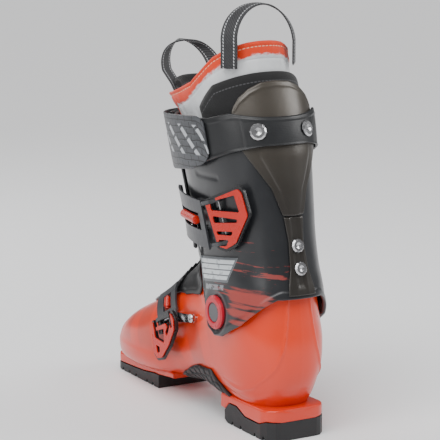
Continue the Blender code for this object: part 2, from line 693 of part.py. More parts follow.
# ---------------------------------------------------------------- liner above the shell
def make_liner_collar():
    degrees = np.linspace(33, 327, 25)
    number = band_numbers(COLLAR_RIBS, degrees, COLLAR_LOWER_EDGE, COLLAR_UPPER_EDGE, 0, 6)
    slab("liner_collar", rib_points(COLLAR_RIBS, number, degrees, 0),
         rib_points(COLLAR_RIBS, number, degrees, -LINER_WALL), "liner fabric")

    degrees = np.linspace(-48, 48, 11)
    number = band_numbers(COLLAR_RIBS, degrees, COLLAR_LOWER_EDGE,
                          326 + 4 * np.cos(np.radians(degrees * 1.8)), -9, 6)
    slab("liner_tongue", rib_points(COLLAR_RIBS, number, degrees, -9),
         rib_points(COLLAR_RIBS, number, degrees, -9 - LINER_WALL), "black padding")

    degrees = np.linspace(102, 258, 15)
    outer_number = band_numbers(CUFF_RIBS, degrees, PADDING_LOWER_EDGE, PADDING_UPPER_EDGE,
                                -CUFF_WALL - 3 * GAP, 4)
    outer = rib_points(CUFF_RIBS, outer_number, degrees, -CUFF_WALL - 3 * GAP)
    inner_number = band_numbers(COLLAR_RIBS, degrees, outer[0, :, 2], outer[-1, :, 2], 1, 4)
    slab("collar_padding", outer, rib_points(COLLAR_RIBS, inner_number, degrees, 1), "black padding")


def webbing(name, path, across_line, width, thickness, color_name="webbing"):
    """Flat strap along a path of points, with its width along the direction at each point."""
    path, across_line = np.array(path, float), np.array(across_line, float)
    across_line /= np.linalg.norm(across_line, axis=1)[:, None]
    along = np.gradient(path, axis=0)
    normal = np.cross(along, across_line)
    normal /= np.linalg.norm(normal, axis=1)[:, None]
    side = np.array((-0.5, 0.5))[None, :, None] * width
    face = path[:, None, :] + across_line[:, None, :] * side
    lift = normal[:, None, :] * thickness / 2
    return slab(name, face + lift, face - lift, color_name)


REAR_LOOP = {"legs": ((36, -34, 348.5),), "half_span": 36, "turn_z": 372, "y": -34, "top_y": -40,
             "width": 17, "lean": 0.8}
TONGUE_LOOP = {"legs": ((26, -150.9, 315), (26.3, -158.8, 323)), "half_span": 28, "turn_z": 334,
               "y": -172, "top_y": -189, "width": 16, "lean": -2}


def make_pull_loops():
    """Each loop goes up one leg, over half an ellipse and down the other leg."""
    for name, loop in (("rear_pull_loop", REAR_LOOP), ("tongue_pull_loop", TONGUE_LOOP)):
        half = loop["half_span"]
        angle = np.linspace(0, math.pi, 15)
        arch = np.stack([half * np.cos(angle),
                         loop["y"] + (loop["top_y"] - loop["y"]) * np.sin(angle),
                         loop["turn_z"] + half * np.sin(angle)], -1)
        leg = np.array(loop["legs"], float)
        path = np.concatenate([leg, arch, leg[::-1] * (-1, 1, 1)])
        turn = np.clip(path[:, 0] / half, -1, 1)
        webbing(name, path, np.stack([-loop["lean"] * turn, turn * 0 + 1, turn * 0], -1),
                loop["width"], 1.6)


# ---------------------------------------------------------------- buckles
# Each buckle has its own frame: X to the lever's handle, Y along the hinges, Z outwards.
# "hinge" and "bail pin" are X and Z; the pairs of lugs, ears and arms are Y ranges.
UPPER = {
    "name": "upper", "origin": (60, -33, 203), "x": (-13.4, 39, 12.4), "up": (0.067, -0.152, 0.986),
    "outline": ((1.5, 22.3, 3), (50.7, 28.1), (54.2, 22.1), (55.6, -1.5), (31.3, -26.7),
                (16.8, -30.5), (6.2, -25.9, 3)),
    "windows": (((10, 19.2), (42.4, 20), (44.3, 3), (10, 11)),
                ((10, 5.7), (40, -2.8), (38, -5.7), (10, -1.1)),
                ((10.5, -9.1), (31.2, -13.1), (27.7, -16.4), (11.1, -12.6)),
                ((10.3, -17.4), (23.8, -19.8), (18.9, -25), (12.2, -24))),
    "hinge": (4, -6.6), "bail pin": (16, -4.9),
    "lugs": ((7.6, 9.9), (-16.3, -14)), "ears": ((10.2, 12.6), (-19, -16.6)),
    "arms": ((17.6, 21.2), (-23.4, -19.8)),
    "ear foot": ((-2, -11.7), (6.5, -9.3)),
    "arm path": ((4, -4.6), (-6, -6.6), (-14, -9.6)),
    "face cuts": (),
}
LOWER = {
    "name": "lower", "origin": (56, -114.8, 81.2), "x": (0.03, 0.436, -0.896), "up": (-0.03, 0.9, 0.435),
    "outline": ((-16.5, -34.9, 3), (-0.1, -40), (15.9, -42.3), (24.1, -37), (25.6, -26.7),
                (16.3, -6.8), (3.7, 11), (-7.6, 14.6, 3), (-15.9, 10.8, 3), (-18.5, -1, 3)),
    "windows": (((-12.7, -28.2), (-13.5, -19), (-12.6, -3.6), (-11.8, 3.8), (-4.6, 2.9), (2, -2),
                 (5.8, -7.8), (1.6, -9), (-3, -4), (-7.4, -6), (-8, -26)),
                ((-5.4, -31.3), (-3, -10.8), (9.3, -15), (10.6, -16.2), (1.1, -31.7)),
                ((8.1, -32.7), (12.4, -25.6), (17.4, -27.7), (16.7, -32.8))),
    "hinge": (-13, -5.2), "bail pin": (-3, -3.9),
    "lugs": ((-2.6, -0.4), (-23.6, -21.4)), "ears": ((-0.1, 2.1), (-26.1, -23.9)),
    "arms": ((2.7, 6.2), (-30.2, -26.7)),
    "ear foot": ((-16.5, -8.8), (-10.5, -8.8)),
    "face cuts": (((-21, -31, -4), (-10.5, 7, 6)),),
}
LEVER_BOTTOM, LEVER_TOP = -2.3, 0.7
HINGE_PIN = 1.2


def buckle_frame(spec):
    x, up = Vector(spec["x"]).normalized(), Vector(spec["up"]).normalized()
    z = x.cross(up).normalized()
    return frame_matrix(spec["origin"], x, z.cross(x), z)


def upright(outline, low, high):
    """Mesh of an outline in the buckle's X and Z, between two values of Y."""
    mesh = plate(outline, high - low)
    mesh.transform(Matrix(((1, 0, 0, 0), (0, 0, -1, high * MM), (0, 1, 0, 0), (0, 0, 0, 1))))
    return mesh


def joined(name, place, meshes, color_name, collection=None):
    """Union of several closed meshes, the first one carrying the name."""
    body = group(name, meshes[0], [place], color_name, collection)
    for k, mesh in enumerate(meshes[1:]):
        boolean(body, group(f"{name}_piece_{k}", mesh, [place], None, CUTTERS), "UNION")
    return body


def pin_mesh(pin, low, high, radius=HINGE_PIN):
    """Pin along the buckle's Y at X and Z."""
    mesh = turned([(0, 0), (radius, 0), (radius, low - high), (0, low - high)], 12)
    mesh.transform(Matrix(((1, 0, 0, pin[0] * MM), (0, 0, 1, high * MM), (0, -1, 0, pin[1] * MM),
                           (0, 0, 0, 1))))
    return mesh


def span(ranges, spare=0.0):
    values = np.ravel(ranges)
    return float(values.min()) - spare, float(values.max()) + spare


def make_lever(spec):
    """Lever frame with lugs, its face, and the pin that carries the bail."""
    name, place = spec["name"], buckle_frame(spec)
    outline = rounded(spec["outline"], 5, 2)
    windows = [rounded(w, 0.8, 1) for w in spec["windows"]]
    rim = plate(outline, LEVER_TOP - LEVER_BOTTOM, windows)
    rim.transform(Matrix.Translation((0, 0, LEVER_BOTTOM * MM)))
    (ax, az), (bx, bz) = spec["hinge"], spec["bail pin"]
    lug = [(ax - 2.6, LEVER_BOTTOM + 1), (ax - 2.6, az), (ax - 1.6, az - 2), (ax + 1.6, az - 2.2),
           (bx + 2, bz - 2.2), (bx + 3, bz), (bx + 3, LEVER_BOTTOM + 1)]
    lever = joined(name + "_lever", place, [rim] + [upright(lug, *y) for y in spec["lugs"]],
                   "buckle black")
    for pin, reach in ((spec["hinge"], span(spec["ears"], 3)), (spec["bail pin"], span(spec["arms"], 3))):
        hole = pin_mesh(pin, *reach, HINGE_PIN + 0.06)
        boolean(lever, group(name + "_pin_hole", hole, [place], None, CUTTERS))
    # The bail's arms pass through two slots as the lever opens.
    start = min(p[0] for p in spec["outline"]) - 2
    slots = [box_mesh((start, low - 0.6, LEVER_BOTTOM - 1), (bx + 2.6, high + 0.6, LEVER_TOP + 4))
             for low, high in spec["arms"]]
    for k, slot in enumerate(slots):
        boolean(lever, group(f"{name}_slot_{k}", slot.copy(), [place], None, CUTTERS))
    smooth(settle(lever))

    middle = np.mean([p[:2] for p in spec["outline"]], axis=0)
    inset = [tuple(middle + (np.array(p[:2]) - middle) * 0.90) + tuple(p[2:])
             for p in spec["outline"]]
    face = plate(rounded(inset, 4, 2), 1.2, windows)
    face.transform(Matrix.Translation((0, 0, (LEVER_TOP + GAP) * MM)))
    face = group(name + "_lever_face", face, [place], "buckle red")
    for k, slot in enumerate([*slots, *(box_mesh(*box) for box in spec["face cuts"])]):
        boolean(face, group(f"{name}_face_slot_{k}", slot, [place], None, CUTTERS))
    smooth(settle(face))
    placed(name + "_bail_pin", pin_mesh(spec["bail pin"], *span(spec["arms"], -0.2)), [place],
           "polished steel")
    placed(name + "_hinge_pin", pin_mesh(spec["hinge"], *span(spec["ears"], -0.2)), [place],
           "polished steel")


def ear_meshes(spec):
    """Ears of the base about the hinge pin, reaching down to the base plate."""
    ax, az = spec["hinge"]
    front, rear = spec["ear foot"]
    outline = [front, (front[0], az - 0.5), (ax - 1.8, az + 2), (ax + 1.4, az + 2.2),
               (ax + 2.4, az + 1), rear]
    return [upright(outline, *y) for y in spec["ears"]]


def drill_base(base, spec):
    hole = pin_mesh(spec["hinge"], *span(spec["ears"], 3), HINGE_PIN + 0.06)
    return boolean(base, group(spec["name"] + "_ear_hole", hole, [buckle_frame(spec)], None,
                               CUTTERS))


def arm_mesh(spec, path, reach):
    """Bail arm from its eye at the pin along points (x, z), between two values of Y."""
    bx, bz = spec["bail pin"]
    eye = [(bx - 1.4, bz - 1.9), (bx + 1.2, bz - 1.9), (bx + 2.2, bz), (bx + 1.2, bz + 1.6),
           (bx - 1.4, bz + 1.6)]
    return upright([*eye, *((x, z + 1) for x, z in path), *((x, z - 1) for x, z in path[::-1])],
                   *reach)


def drill_bail(bail, spec):
    hole = pin_mesh(spec["bail pin"], *span(spec["arms"], 3), HINGE_PIN + 0.06)
    return boolean(bail, group(spec["name"] + "_eye", hole, [buckle_frame(spec)], None, CUTTERS))


def barrel_mesh(half_length, radius):
    """Adjuster barrel along Z, necked at both ends."""
    neck = radius * 0.6
    return turned([(0, half_length), (neck, half_length), (neck, half_length - 1.5),
                   (radius, half_length - 2), (radius, 2 - half_length),
                   (neck, 1.5 - half_length), (neck, -half_length), (0, -half_length)], 16)


def make_upper_base():
    place = buckle_frame(UPPER)
    degrees = np.linspace(84, 101.5, 6)
    number = rib_where(CUFF_RIBS, degrees, np.linspace(180, 221, 5)[:, None] + 0 * degrees, 1)
    base = slab("upper_base", rib_points(CUFF_RIBS, number, degrees, 2.1),
                rib_points(CUFF_RIBS, number, degrees, GAP), "buckle grey")
    for k, ear in enumerate(ear_meshes(UPPER)):
        boolean(base, group(f"upper_ear_{k}", ear, [place], None, CUTTERS), "UNION")
    drill_base(base, UPPER)
    smooth(settle(boolean(base, through_holes(BUCKLE_RIVETS))))
    placed("upper_base_rivet", rivet_mesh(3.6, 1.4, 6),
           [fastener_place(*p) for p in BUCKLE_RIVETS], "polished steel")


def make_upper_bail():
    place = buckle_frame(UPPER)
    degrees = np.concatenate([(42.9, 44.2, 44.8), np.linspace(48.5, 94, 12)])
    rows = np.linspace(176.5, 222, 5)[:, None] + np.interp(degrees, (43, 91), (3, 0))
    number = rib_where(CUFF_RIBS, degrees, rows, 7)
    bail = slab("upper_bail", rib_points(CUFF_RIBS, number, degrees, 8.8),
                rib_points(CUFF_RIBS, number, degrees, np.where(degrees < 44.5, 5.0, 6.6)),
                "buckle grey")
    for k, y in enumerate(UPPER["arms"]):
        arm = arm_mesh(UPPER, UPPER["arm path"], y)
        boolean(bail, group(f"upper_arm_{k}", arm, [place], None, CUTTERS), "UNION")
    boolean(bail, slab("upper_bail_window", *window_grids(CUFF_RIBS, (57, 90), (193, 209)),
                       None, CUTTERS))
    smooth(settle(drill_bail(bail, UPPER)))

    ends = rib_points(CUFF_RIBS, rib_where(CUFF_RIBS, np.array((59.5, 87.5)), 201.5, 9),
                      np.array((59.5, 87.5)), 9.2)
    placed("upper_adjuster", barrel_mesh(np.linalg.norm(ends[1] - ends[0]) / 2, 4.2),
           [facing(ends.mean(axis=0), ends[0] - ends[1], (0, 0, 1))], "buckle red")


def toothed(start, end, pitch, low, high):
    """Angles and outward sizes of saw teeth: each has a steep face and a slope."""
    first = np.arange(start, end - pitch / 2, pitch)
    degrees = first[:, None] + np.array((0, 0.35, 0.45, 0.8)) * pitch
    sizes = np.broadcast_to((low, low, high, high - 0.3), degrees.shape)
    return degrees.ravel(), sizes.ravel()


def make_upper_rack():
    """Toothed rack on the flap that the upper bail hooks."""
    degrees, tooth = toothed(382, 407.2, 5.2, 4.4, 5.9)
    degrees, tooth = np.append((373, 377.5), degrees), np.append((4.4, 4.4), tooth)
    number = rib_where(CUFF_RIBS, degrees, np.linspace(188, 206, 3)[:, None] + 0 * degrees, 3)
    rack = slab("upper_rack", rib_points(CUFF_RIBS, number, degrees, tooth),
                rib_points(CUFF_RIBS, number, degrees, FLAP_STEP + GAP), "soft black plastic")
    smooth(settle(boolean(rack, through_holes(RACK_RIVETS))))
    placed("rack_rivet", rivet_mesh(3.0, 1.2, 8), [fastener_place(*p) for p in RACK_RIVETS],
           "polished steel")


def window_grids(table, angles, heights):
    """Two grids for a cutter that passes through a bail between angles and heights."""
    degrees = np.linspace(*angles, 7)
    number = rib_where(table, degrees, np.linspace(*heights, 4)[:, None] + 0 * degrees, 5)
    return rib_points(table, number, degrees, 14), rib_points(table, number, degrees, 3)


def make_lower_arm():
    """Swinging arm that carries the lower lever, riveted to the shell at one end."""
    place = buckle_frame(LOWER)
    rivet = place.inverted() @ surface_frame(SHELL_RIBS, *LOWER_RIVET[:2]).translation / MM
    outline = [(rivet[0] - 5, rivet[1] - 4), (rivet[0] - 3, rivet[1] + 5), (rivet[0] + 5, rivet[1] + 3),
               (-6, 2.1), (-10.5, 2.1), (-10.5, -26.1), (-16.5, -26.1), (-16.5, 2.1)]
    bar = plate(rounded(outline, 1.2, 2), 1.3)
    bar.transform(Matrix.Translation((0, 0, -9.3 * MM)))
    arm = joined("lower_arm", place, [bar, *ear_meshes(LOWER)], "polished steel")
    drill_base(arm, LOWER)
    smooth(settle(boolean(arm, through_holes([LOWER_RIVET], SHELL_RIBS))))
    placed("lower_arm_rivet", rivet_mesh(4.5, 1.8, 9), [fastener_place(*LOWER_RIVET, SHELL_RIBS)],
           "polished steel")


def make_lower_bail():
    place = buckle_frame(LOWER)
    degrees = np.concatenate([(48, 49.7, 50.3), np.linspace(53, 76, 9)])
    share = np.linspace(0, 1, 5)[:, None]
    low, high = np.interp(degrees, (47, 76), (5.45, 5.7)), np.interp(degrees, (47, 76), (6.75, 6.95))
    number = low + (high - low) * share
    top = np.interp(degrees, (47, 58, 76), (8.7, 8.1, 5.6))
    bail = slab("lower_bail", rib_points(SHELL_RIBS, number, degrees, top),
                rib_points(SHELL_RIBS, number, degrees, top - np.where(degrees < 50, 3.3, 2.0)),
                "buckle grey")
    for k, (y, z) in enumerate(zip(LOWER["arms"], (-7.2, -4.6))):
        arm = arm_mesh(LOWER, ((-9, (z + LOWER["bail pin"][1]) / 2), (-19, z)), y)
        boolean(bail, group(f"lower_arm_{k}", arm, [place], None, CUTTERS), "UNION")
    angles = np.linspace(56.5, 73, 6)
    middle = np.interp(angles, (47, 76), (6.1, 6.33))
    opening = middle + np.linspace(-0.27, 0.27, 4)[:, None]
    boolean(bail, slab("lower_bail_window", rib_points(SHELL_RIBS, opening, angles, 14),
                       rib_points(SHELL_RIBS, opening, angles, 2), None, CUTTERS))
    smooth(settle(drill_bail(bail, LOWER)))
    ends = rib_points(SHELL_RIBS, np.array((6.18, 6.3)), np.array((58, 71.5)), np.array((7.4, 6.4)))
    placed("lower_adjuster", barrel_mesh(np.linalg.norm(ends[1] - ends[0]) / 2, 3.4),
           [facing(ends.mean(axis=0), ends[0] - ends[1], (0, 0, 1))], "buckle red")


def make_ladder():
    """Toothed strap over the instep that the lower bail hooks."""
    toothed_part, sizes = toothed(12, 56, 6, 4.7, 5.9)
    degrees = np.concatenate([np.linspace(-80, 8, 14), toothed_part])
    middle = np.interp(degrees, (-80, 0, 56), (7.35, 6.9, 6.15))
    number = middle + np.linspace(-0.42, 0.42, 3)[:, None]
    teeth = np.concatenate([np.full(14, 4.9), sizes])
    ladder = slab("lower_ladder", rib_points(SHELL_RIBS, number, degrees, teeth),
                  rib_points(SHELL_RIBS, number, degrees, 3.3), "soft black plastic")
    smooth(settle(boolean(ladder, through_holes([LADDER_RIVET], SHELL_RIBS))))
    placed("ladder_rivet", rivet_mesh(6, 1.8, 8), [fastener_place(*LADDER_RIVET, SHELL_RIBS)],
           "polished steel")


make_lower_shell()
make_sole_pads()
make_arch_pad()
make_instep_cover()
make_boot_board()
make_liner_foot()
make_footbed()
make_pivots()
make_cuff()
make_spine()
make_power_strap()
make_liner_collar()
make_pull_loops()
make_lever(UPPER)
make_upper_base()
make_upper_bail()
make_upper_rack()
make_lever(LOWER)
make_lower_arm()
make_lower_bail()
make_ladder()
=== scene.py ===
"""Looks of a left alpine ski boot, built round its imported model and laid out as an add-on.

Frame: +Z up, toe towards -Y, outer (buckle) side towards +X, in metres.  The boot's walls are
lofts.  Each row of a loft's table is one rib in millimetres: its front point (y, z), its rear
point (y, z), its half width, and how square its front and rear halves are.  A place on a loft
is a rib number and an angle round the rib: 0 at the front, 90 outer, 180 rear, 270 inner.
"""

import json
import math
from functools import partial

import bmesh
import bpy
import numpy as np
from mathutils import Matrix, Vector


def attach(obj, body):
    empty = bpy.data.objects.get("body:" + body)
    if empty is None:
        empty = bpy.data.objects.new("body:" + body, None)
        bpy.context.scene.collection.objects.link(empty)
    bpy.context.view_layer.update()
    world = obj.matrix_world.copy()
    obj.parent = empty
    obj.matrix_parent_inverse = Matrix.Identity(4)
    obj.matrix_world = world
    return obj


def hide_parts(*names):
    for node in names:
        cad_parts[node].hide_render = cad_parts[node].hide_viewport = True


bl_info = {
    "name": "Alpine Ski Boot Looks",
    "version": (1, 0, 0),
    "blender": (4, 5, 0),
    "location": "3D View > Sidebar > Ski Boot",
    "description": "Builds the visible pieces and finishes of an alpine ski boot",
    "category": "Object",
}

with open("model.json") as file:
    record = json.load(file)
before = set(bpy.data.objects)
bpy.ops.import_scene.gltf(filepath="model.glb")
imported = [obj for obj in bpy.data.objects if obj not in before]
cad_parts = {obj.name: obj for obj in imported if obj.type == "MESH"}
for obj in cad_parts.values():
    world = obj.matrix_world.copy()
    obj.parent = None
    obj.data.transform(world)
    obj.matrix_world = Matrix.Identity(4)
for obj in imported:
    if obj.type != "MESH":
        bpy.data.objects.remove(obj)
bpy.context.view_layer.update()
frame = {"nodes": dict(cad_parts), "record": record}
MM = 0.001

SHELL_RIBS = (
    (-268, 36, -268, 20, 14, 2.4, 2.4), (-265, 50, -265, 15, 30, 2.4, 2.8),
    (-254, 65, -254, 14, 42, 2.3, 3.0), (-232, 79, -232, 14, 50, 2.2, 3.2),
    (-202, 93, -202, 14, 53.5, 2.1, 3.2), (-172, 108, -168, 16, 52, 2.1, 3.0),
    (-147, 125, -130, 24, 47, 2.1, 2.8), (-129, 140, -95, 27, 43.5, 2.2, 2.7),
    (-117, 151, -50, 20, 43, 2.2, 2.7), (-112, 156, 10, 18, 44, 2.2, 2.6),
    (-110, 159, 36, 50, 45.5, 2.3, 2.5), (-109, 162, 42, 80, 46.5, 2.3, 2.4),
    (-108, 165, 39, 112, 43.5, 2.3, 2.3), (-107, 168, 34, 148, 40.5, 2.3, 2.3),
    (-106, 180, 31, 162, 40.5, 2.3, 2.3),
)
CUFF_RIBS = (
    (-96, 108, 53, 60, 52, 2.5, 2.3), (-103, 130, 50, 86, 51.8, 2.5, 2.3),
    (-110, 152, 46, 112, 50.8, 2.5, 2.3), (-117, 172, 42.5, 138, 48.8, 2.35, 2.3),
    (-125, 192, 36, 160, 47.5, 2.2, 2.3), (-134, 216, 29, 186, 48.5, 2.2, 2.3),
    (-142, 242, 23, 214, 51, 2.2, 2.3), (-150, 270, 16, 248, 54, 2.2, 2.3),
    (-157, 298, 9, 282, 56.5, 2.2, 2.3), (-163, 322, 1, 306, 58, 2.2, 2.3),
    (-168, 344, -11, 335, 58, 2.2, 2.3), (-172, 364, -19, 360, 56, 2.2, 2.3),
)
COLLAR_RIBS = (
    (-107, 172, 30, 148, 36, 2.2, 2.3), (-117, 194, 28, 162, 40, 2.2, 2.3),
    (-126, 218, 21, 188, 41.5, 2.2, 2.3), (-134, 244, 15, 216, 44, 2.2, 2.3),
    (-142, 272, 7.5, 250, 47, 2.2, 2.3), (-149, 298, -0.5, 284, 48.5, 2.3, 2.3),
    (-168, 319, -10, 308, 50, 2.8, 2.3), (-178, 337, -20, 337, 50, 2.9, 2.3),
    (-184, 352, -25, 360, 50, 2.8, 2.3), (-188, 366, -26, 380, 49, 2.6, 2.3),
)
# Edges in side view, as (y, z) points.
CUFF_LOWER_EDGE = ((-135, 171), (-84, 164), (-69, 158), (-61, 147), (-57.5, 131), (-56, 109),
                   (-48, 97), (-34, 92), (-20, 94), (8, 110), (36, 137), (60, 139))
CUFF_UPPER_EDGE = ((-175, 296), (-60, 300), (10, 298))
COLLAR_LOWER_EDGE = ((-130, 190), (-40, 166), (40, 153))
COLLAR_UPPER_EDGE = ((-190, 312), (-160, 313), (-131, 318), (-112, 323), (-87, 332), (-74, 342),
                     (-56, 358), (-48, 363), (-31, 372), (-20, 377))
PADDING_LOWER_EDGE = ((-70, 285), (0, 285))
PADDING_UPPER_EDGE = ((-70, 304), (-62, 308), (-46, 332), (-30, 340), (-18, 346), (0, 347))
STRAP_LOWER_EDGE = ((-175, 247), (-110, 246), (-60, 253), (-20, 268), (12, 280))
STRAP_UPPER_EDGE = ((-175, 294), (-120, 297), (-36, 303), (-16, 309), (12, 305))
FLEX_PIVOT = (-34.0, 115.0)
FLAP_STEP = 2.6
# Rib number and half angle of the instep cover; rib number and side angle of the arch pad.
INSTEP_REACH = ((3.1, 3.4, 4, 5.5, 7.5, 10, 11.2, 12.8), (7, 17, 27, 46, 63, 62, 48, 46))
ARCH_SIDE = ((5.95, 6.6, 7.4, 8.13, 8.34), (146, 133, 119, 114, 140))
# Angle from the rear and height of the spoiler's edges; height and half angle of the strut.
SPOILER_TOP = ((0, 12, 24, 34, 40, 43), (338, 336.5, 331, 323, 315, 309))
SPOILER_FOOT = ((0, 9.5, 12, 17, 36, 43), (214, 214.5, 222, 239, 269, 281))
STRUT_HALF = ((141, 150, 165, 190, 213), (14, 13, 9, 7, 9))
# Tops of the lug blocks' recesses for their pads, as (y, z) points.
HEEL_PAD_TOP = ((-46, 12.5), (-38, 20), (-24, 20.5), (-8, 14), (18, 14), (28, 18), (37, 18))
TOE_PAD_TOP = ((-279, 8), (-255, 8.5), (-216, 10.5), (-193, 13.5), (-182, 14), (-150, 17.5))
PAD_GAP = 0.3
# Inner and outer face of each wall, in millimetres out from its loft.
SHELL_WALL = 4.5
CUFF_WALL = 3.4
SPOILER_FACES = (0.3, 3.0)
STRUT_FACES = (0.3, 2.9)
COVER_FACES = (0.6, 2.8)
ARCH_PAD_FACES = (0.3, 3.0)
STRAP_OUT = 3.8
STRAP_PAD_FACES = (6.6, 9.2)
COLLAR_FACES = (-6, 0)
TONGUE_FACES = (-15, -9)
PADDING_OUT = -4.3
FOOT_OUT, FOOT_WALL = -9.8, 6
FOOTBED_FACES = (-20.6, -17.6)
# The strap's pad: its two end angles, its corner radius, and millimetres to a degree there.
PAD_SPAN = (-30, 112)
PAD_CORNER = 9
PAD_MM_PER_DEGREE = 1.15
KNIT_PITCH = 0.0011
SHELL_TOP = 13.0


# ---- lofts
def ramp(value, start, end):
    """Smooth step: 0 at start, 1 at end, 3f^2 - 2f^3 between."""
    f = np.clip((np.asarray(value, float) - start) / (end - start), 0, 1)
    return f * f * (3 - 2 * f)


def hump(value, middle, width):
    """Bell exp(-(d / width)^2) of the distance d from the middle."""
    return np.exp(-((np.asarray(value, float) - middle) / width) ** 2)


def rows_between(table, number):
    """Catmull-Rom blend of a table's rows at fractional row numbers."""
    table = np.asarray(table, float)
    number = np.asarray(number, float)
    last = len(table) - 1
    index = np.clip(np.floor(number).astype(int), 0, last - 1)
    f = (number - index)[..., None]
    before, start = table[np.maximum(index - 1, 0)], table[index]
    stop, after = table[index + 1], table[np.minimum(index + 2, last)]
    slope_0, slope_1 = (stop - before) / 2, (after - start) / 2
    return ((2 * f**3 - 3 * f**2 + 1) * start + (f**3 - 2 * f**2 + f) * slope_0
            + (3 * f**2 - 2 * f**3) * stop + (f**3 - f**2) * slope_1)


def rib_points(table, number, degrees, out=0.0):
    """Superellipse ribs |x / w|^q + |a / L|^q = 1, where a runs from the rear point to the front.

    The half width w and half length L both grow by out."""
    number, degrees, out = np.broadcast_arrays(number, degrees, out)
    rows = rows_between(table, number)
    front_y, front_z, rear_y, rear_z, half_width, q_front, q_rear = np.moveaxis(rows, -1, 0)
    angle = np.radians(degrees)
    c, s = np.cos(angle), np.sin(angle)
    power = 2 / np.where(c > 0, q_front, q_rear)
    length = np.hypot(front_y - rear_y, front_z - rear_z) / 2
    along = np.sign(c) * np.abs(c) ** power * (length + out)
    x = np.sign(s) * np.abs(s) ** power * (half_width + out)
    y = (front_y + rear_y) / 2 + (front_y - rear_y) / (2 * length) * along
    z = (front_z + rear_z) / 2 + (front_z - rear_z) / (2 * length) * along
    return np.stack([x, y, z], -1)


def rib_where(table, degrees, height, out=0.0):
    """Rib number where a loft reaches an edge's (y, z) points or z values, by halving."""
    low, high = np.zeros(np.shape(degrees)), np.full(np.shape(degrees), len(table) - 1.0)
    for _ in range(26):
        middle = (low + high) / 2
        point = rib_points(table, middle, degrees, out)
        goal = height
        if isinstance(height, (tuple, list)):
            goal = np.interp(point[..., 1], *np.transpose(height))
        low = np.where(point[..., 2] < goal, middle, low)
        high = np.where(point[..., 2] < goal, high, middle)
    return (low + high) / 2


# ---- meshes
def new_piece(name, points, faces, uv=None, smooth_angle=40):
    """Mesh object from millimetre points; uv is one (u, v) in millimetres for each point."""
    mesh = bpy.data.meshes.new(name)
    points = np.asarray(points, float).reshape(-1, 3) * MM
    faces = np.asarray(faces)
    mesh.from_pydata(points.tolist(), [], faces.tolist())
    if uv is not None:
        layer = mesh.uv_layers.new(name="UVMap")
        corner = np.zeros(len(mesh.loops), np.int32)
        mesh.loops.foreach_get("vertex_index", corner)
        layer.data.foreach_set("uv", (np.asarray(uv, float).reshape(-1, 2)[corner] * MM).ravel())
    obj = bpy.data.objects.new(name, mesh)
    bpy.context.scene.collection.objects.link(obj)
    tidy_mesh(obj, smooth_angle)
    return obj


def tidy_mesh(obj, smooth_angle=40):
    """Merge doubles, drop edges without length, turn the faces outwards, and smooth."""
    work = bmesh.new()
    work.from_mesh(obj.data)
    bmesh.ops.remove_doubles(work, verts=work.verts, dist=2e-6)
    bmesh.ops.dissolve_degenerate(work, edges=work.edges, dist=1e-6)
    bmesh.ops.recalc_face_normals(work, faces=work.faces)
    work.to_mesh(obj.data)
    work.free()
    obj.data.shade_smooth()
    obj.data.set_sharp_from_angle(angle=math.radians(smooth_angle))


def grid_faces(rows, columns, closed_rows=False, closed_columns=False):
    """Quads of a grid of points, its ends joined where it is closed."""
    r, c = np.meshgrid(np.arange(rows - (not closed_rows)), np.arange(columns - (not closed_columns)),
                       indexing="ij")
    r2, c2 = (r + 1) % rows, (c + 1) % columns
    return np.stack([r * columns + c, r * columns + c2, r2 * columns + c2, r2 * columns + c],
                    -1).reshape(-1, 4)


def spread(count, margin):
    """Shares from 0 to 1, drawn together within the margin of both ends, and how full a slab is there.

    In the margin the share is m (1 - cos t) and the fullness sin t, which rounds the rim."""
    theta = np.linspace(0, math.pi / 2, 6)
    edge = margin * (1 - np.cos(theta))
    share = np.concatenate([edge, np.linspace(margin, 1 - margin, count)[1:-1], (1 - edge)[::-1]])
    full = np.concatenate([np.sin(theta), np.ones(count - 2), np.sin(theta)[::-1]])
    return share, full


def shares(size, rim, counts):
    """Column shares and row shares of a slab of a rough size whose rim is rounded by rim."""
    return [spread(count, rim / length) for count, length in zip(counts, size)]


def slab_piece(name, outer, inner, row_full, column_full, smooth_angle=50):
    """Closed slab between two grids of points, which meet halfway round its rim.

    A point is the mean of the two grids plus or minus half their distance times the fullness.
    U runs along the columns and V down from the last row, both in true length."""
    full = (row_full[:, None] * column_full)[..., None]
    middle, half = (outer + inner) / 2, (outer - inner) / 2 * full
    points = np.stack([middle + half, middle - half])
    steps = np.linalg.norm(np.diff(middle, axis=1, prepend=middle[:, :1]), axis=-1)
    rises = np.linalg.norm(np.diff(middle, axis=0, prepend=middle[:1]), axis=-1)
    along = np.cumsum(steps.mean(axis=0))
    up = np.cumsum(rises, axis=0)
    uv = np.stack(np.broadcast_arrays(along, up - up[-1]), -1)
    rows, columns = middle.shape[:2]
    face = grid_faces(rows, columns)
    faces = np.concatenate([face[:, ::-1], face + rows * columns])
    return new_piece(name, points, faces, np.stack([uv, uv]), smooth_angle)


def loft_slab(name, table, number, degrees, faces, fulls, relief=None, rise=0):
    """Slab between two distances out from a loft; the relief moves its outer face further."""
    low, high = faces
    bulge = relief(degrees, number, rib_points(table, number, degrees)) if relief else 0
    return slab_piece(name, rib_points(table, number, degrees, high + rise + bulge),
                      rib_points(table, number, degrees, low + rise), *fulls)


def wall_piece(name, table, span, lower, upper, low, high, size, pitch=1.5, relief=None):
    """Slab on a loft from out = low to out = high, between two angles and two edges.

    size is its rough width and height; relief moves its outer face further out."""
    (column, column_full), (row, row_full) = shares(size, 0.5 * (high - low),
                                                    [int(length / pitch) for length in size])
    degrees = span[0] + (span[1] - span[0]) * column
    return wall_on(name, table, degrees, lower, upper, low, high, (row, row_full, column_full),
                   relief)


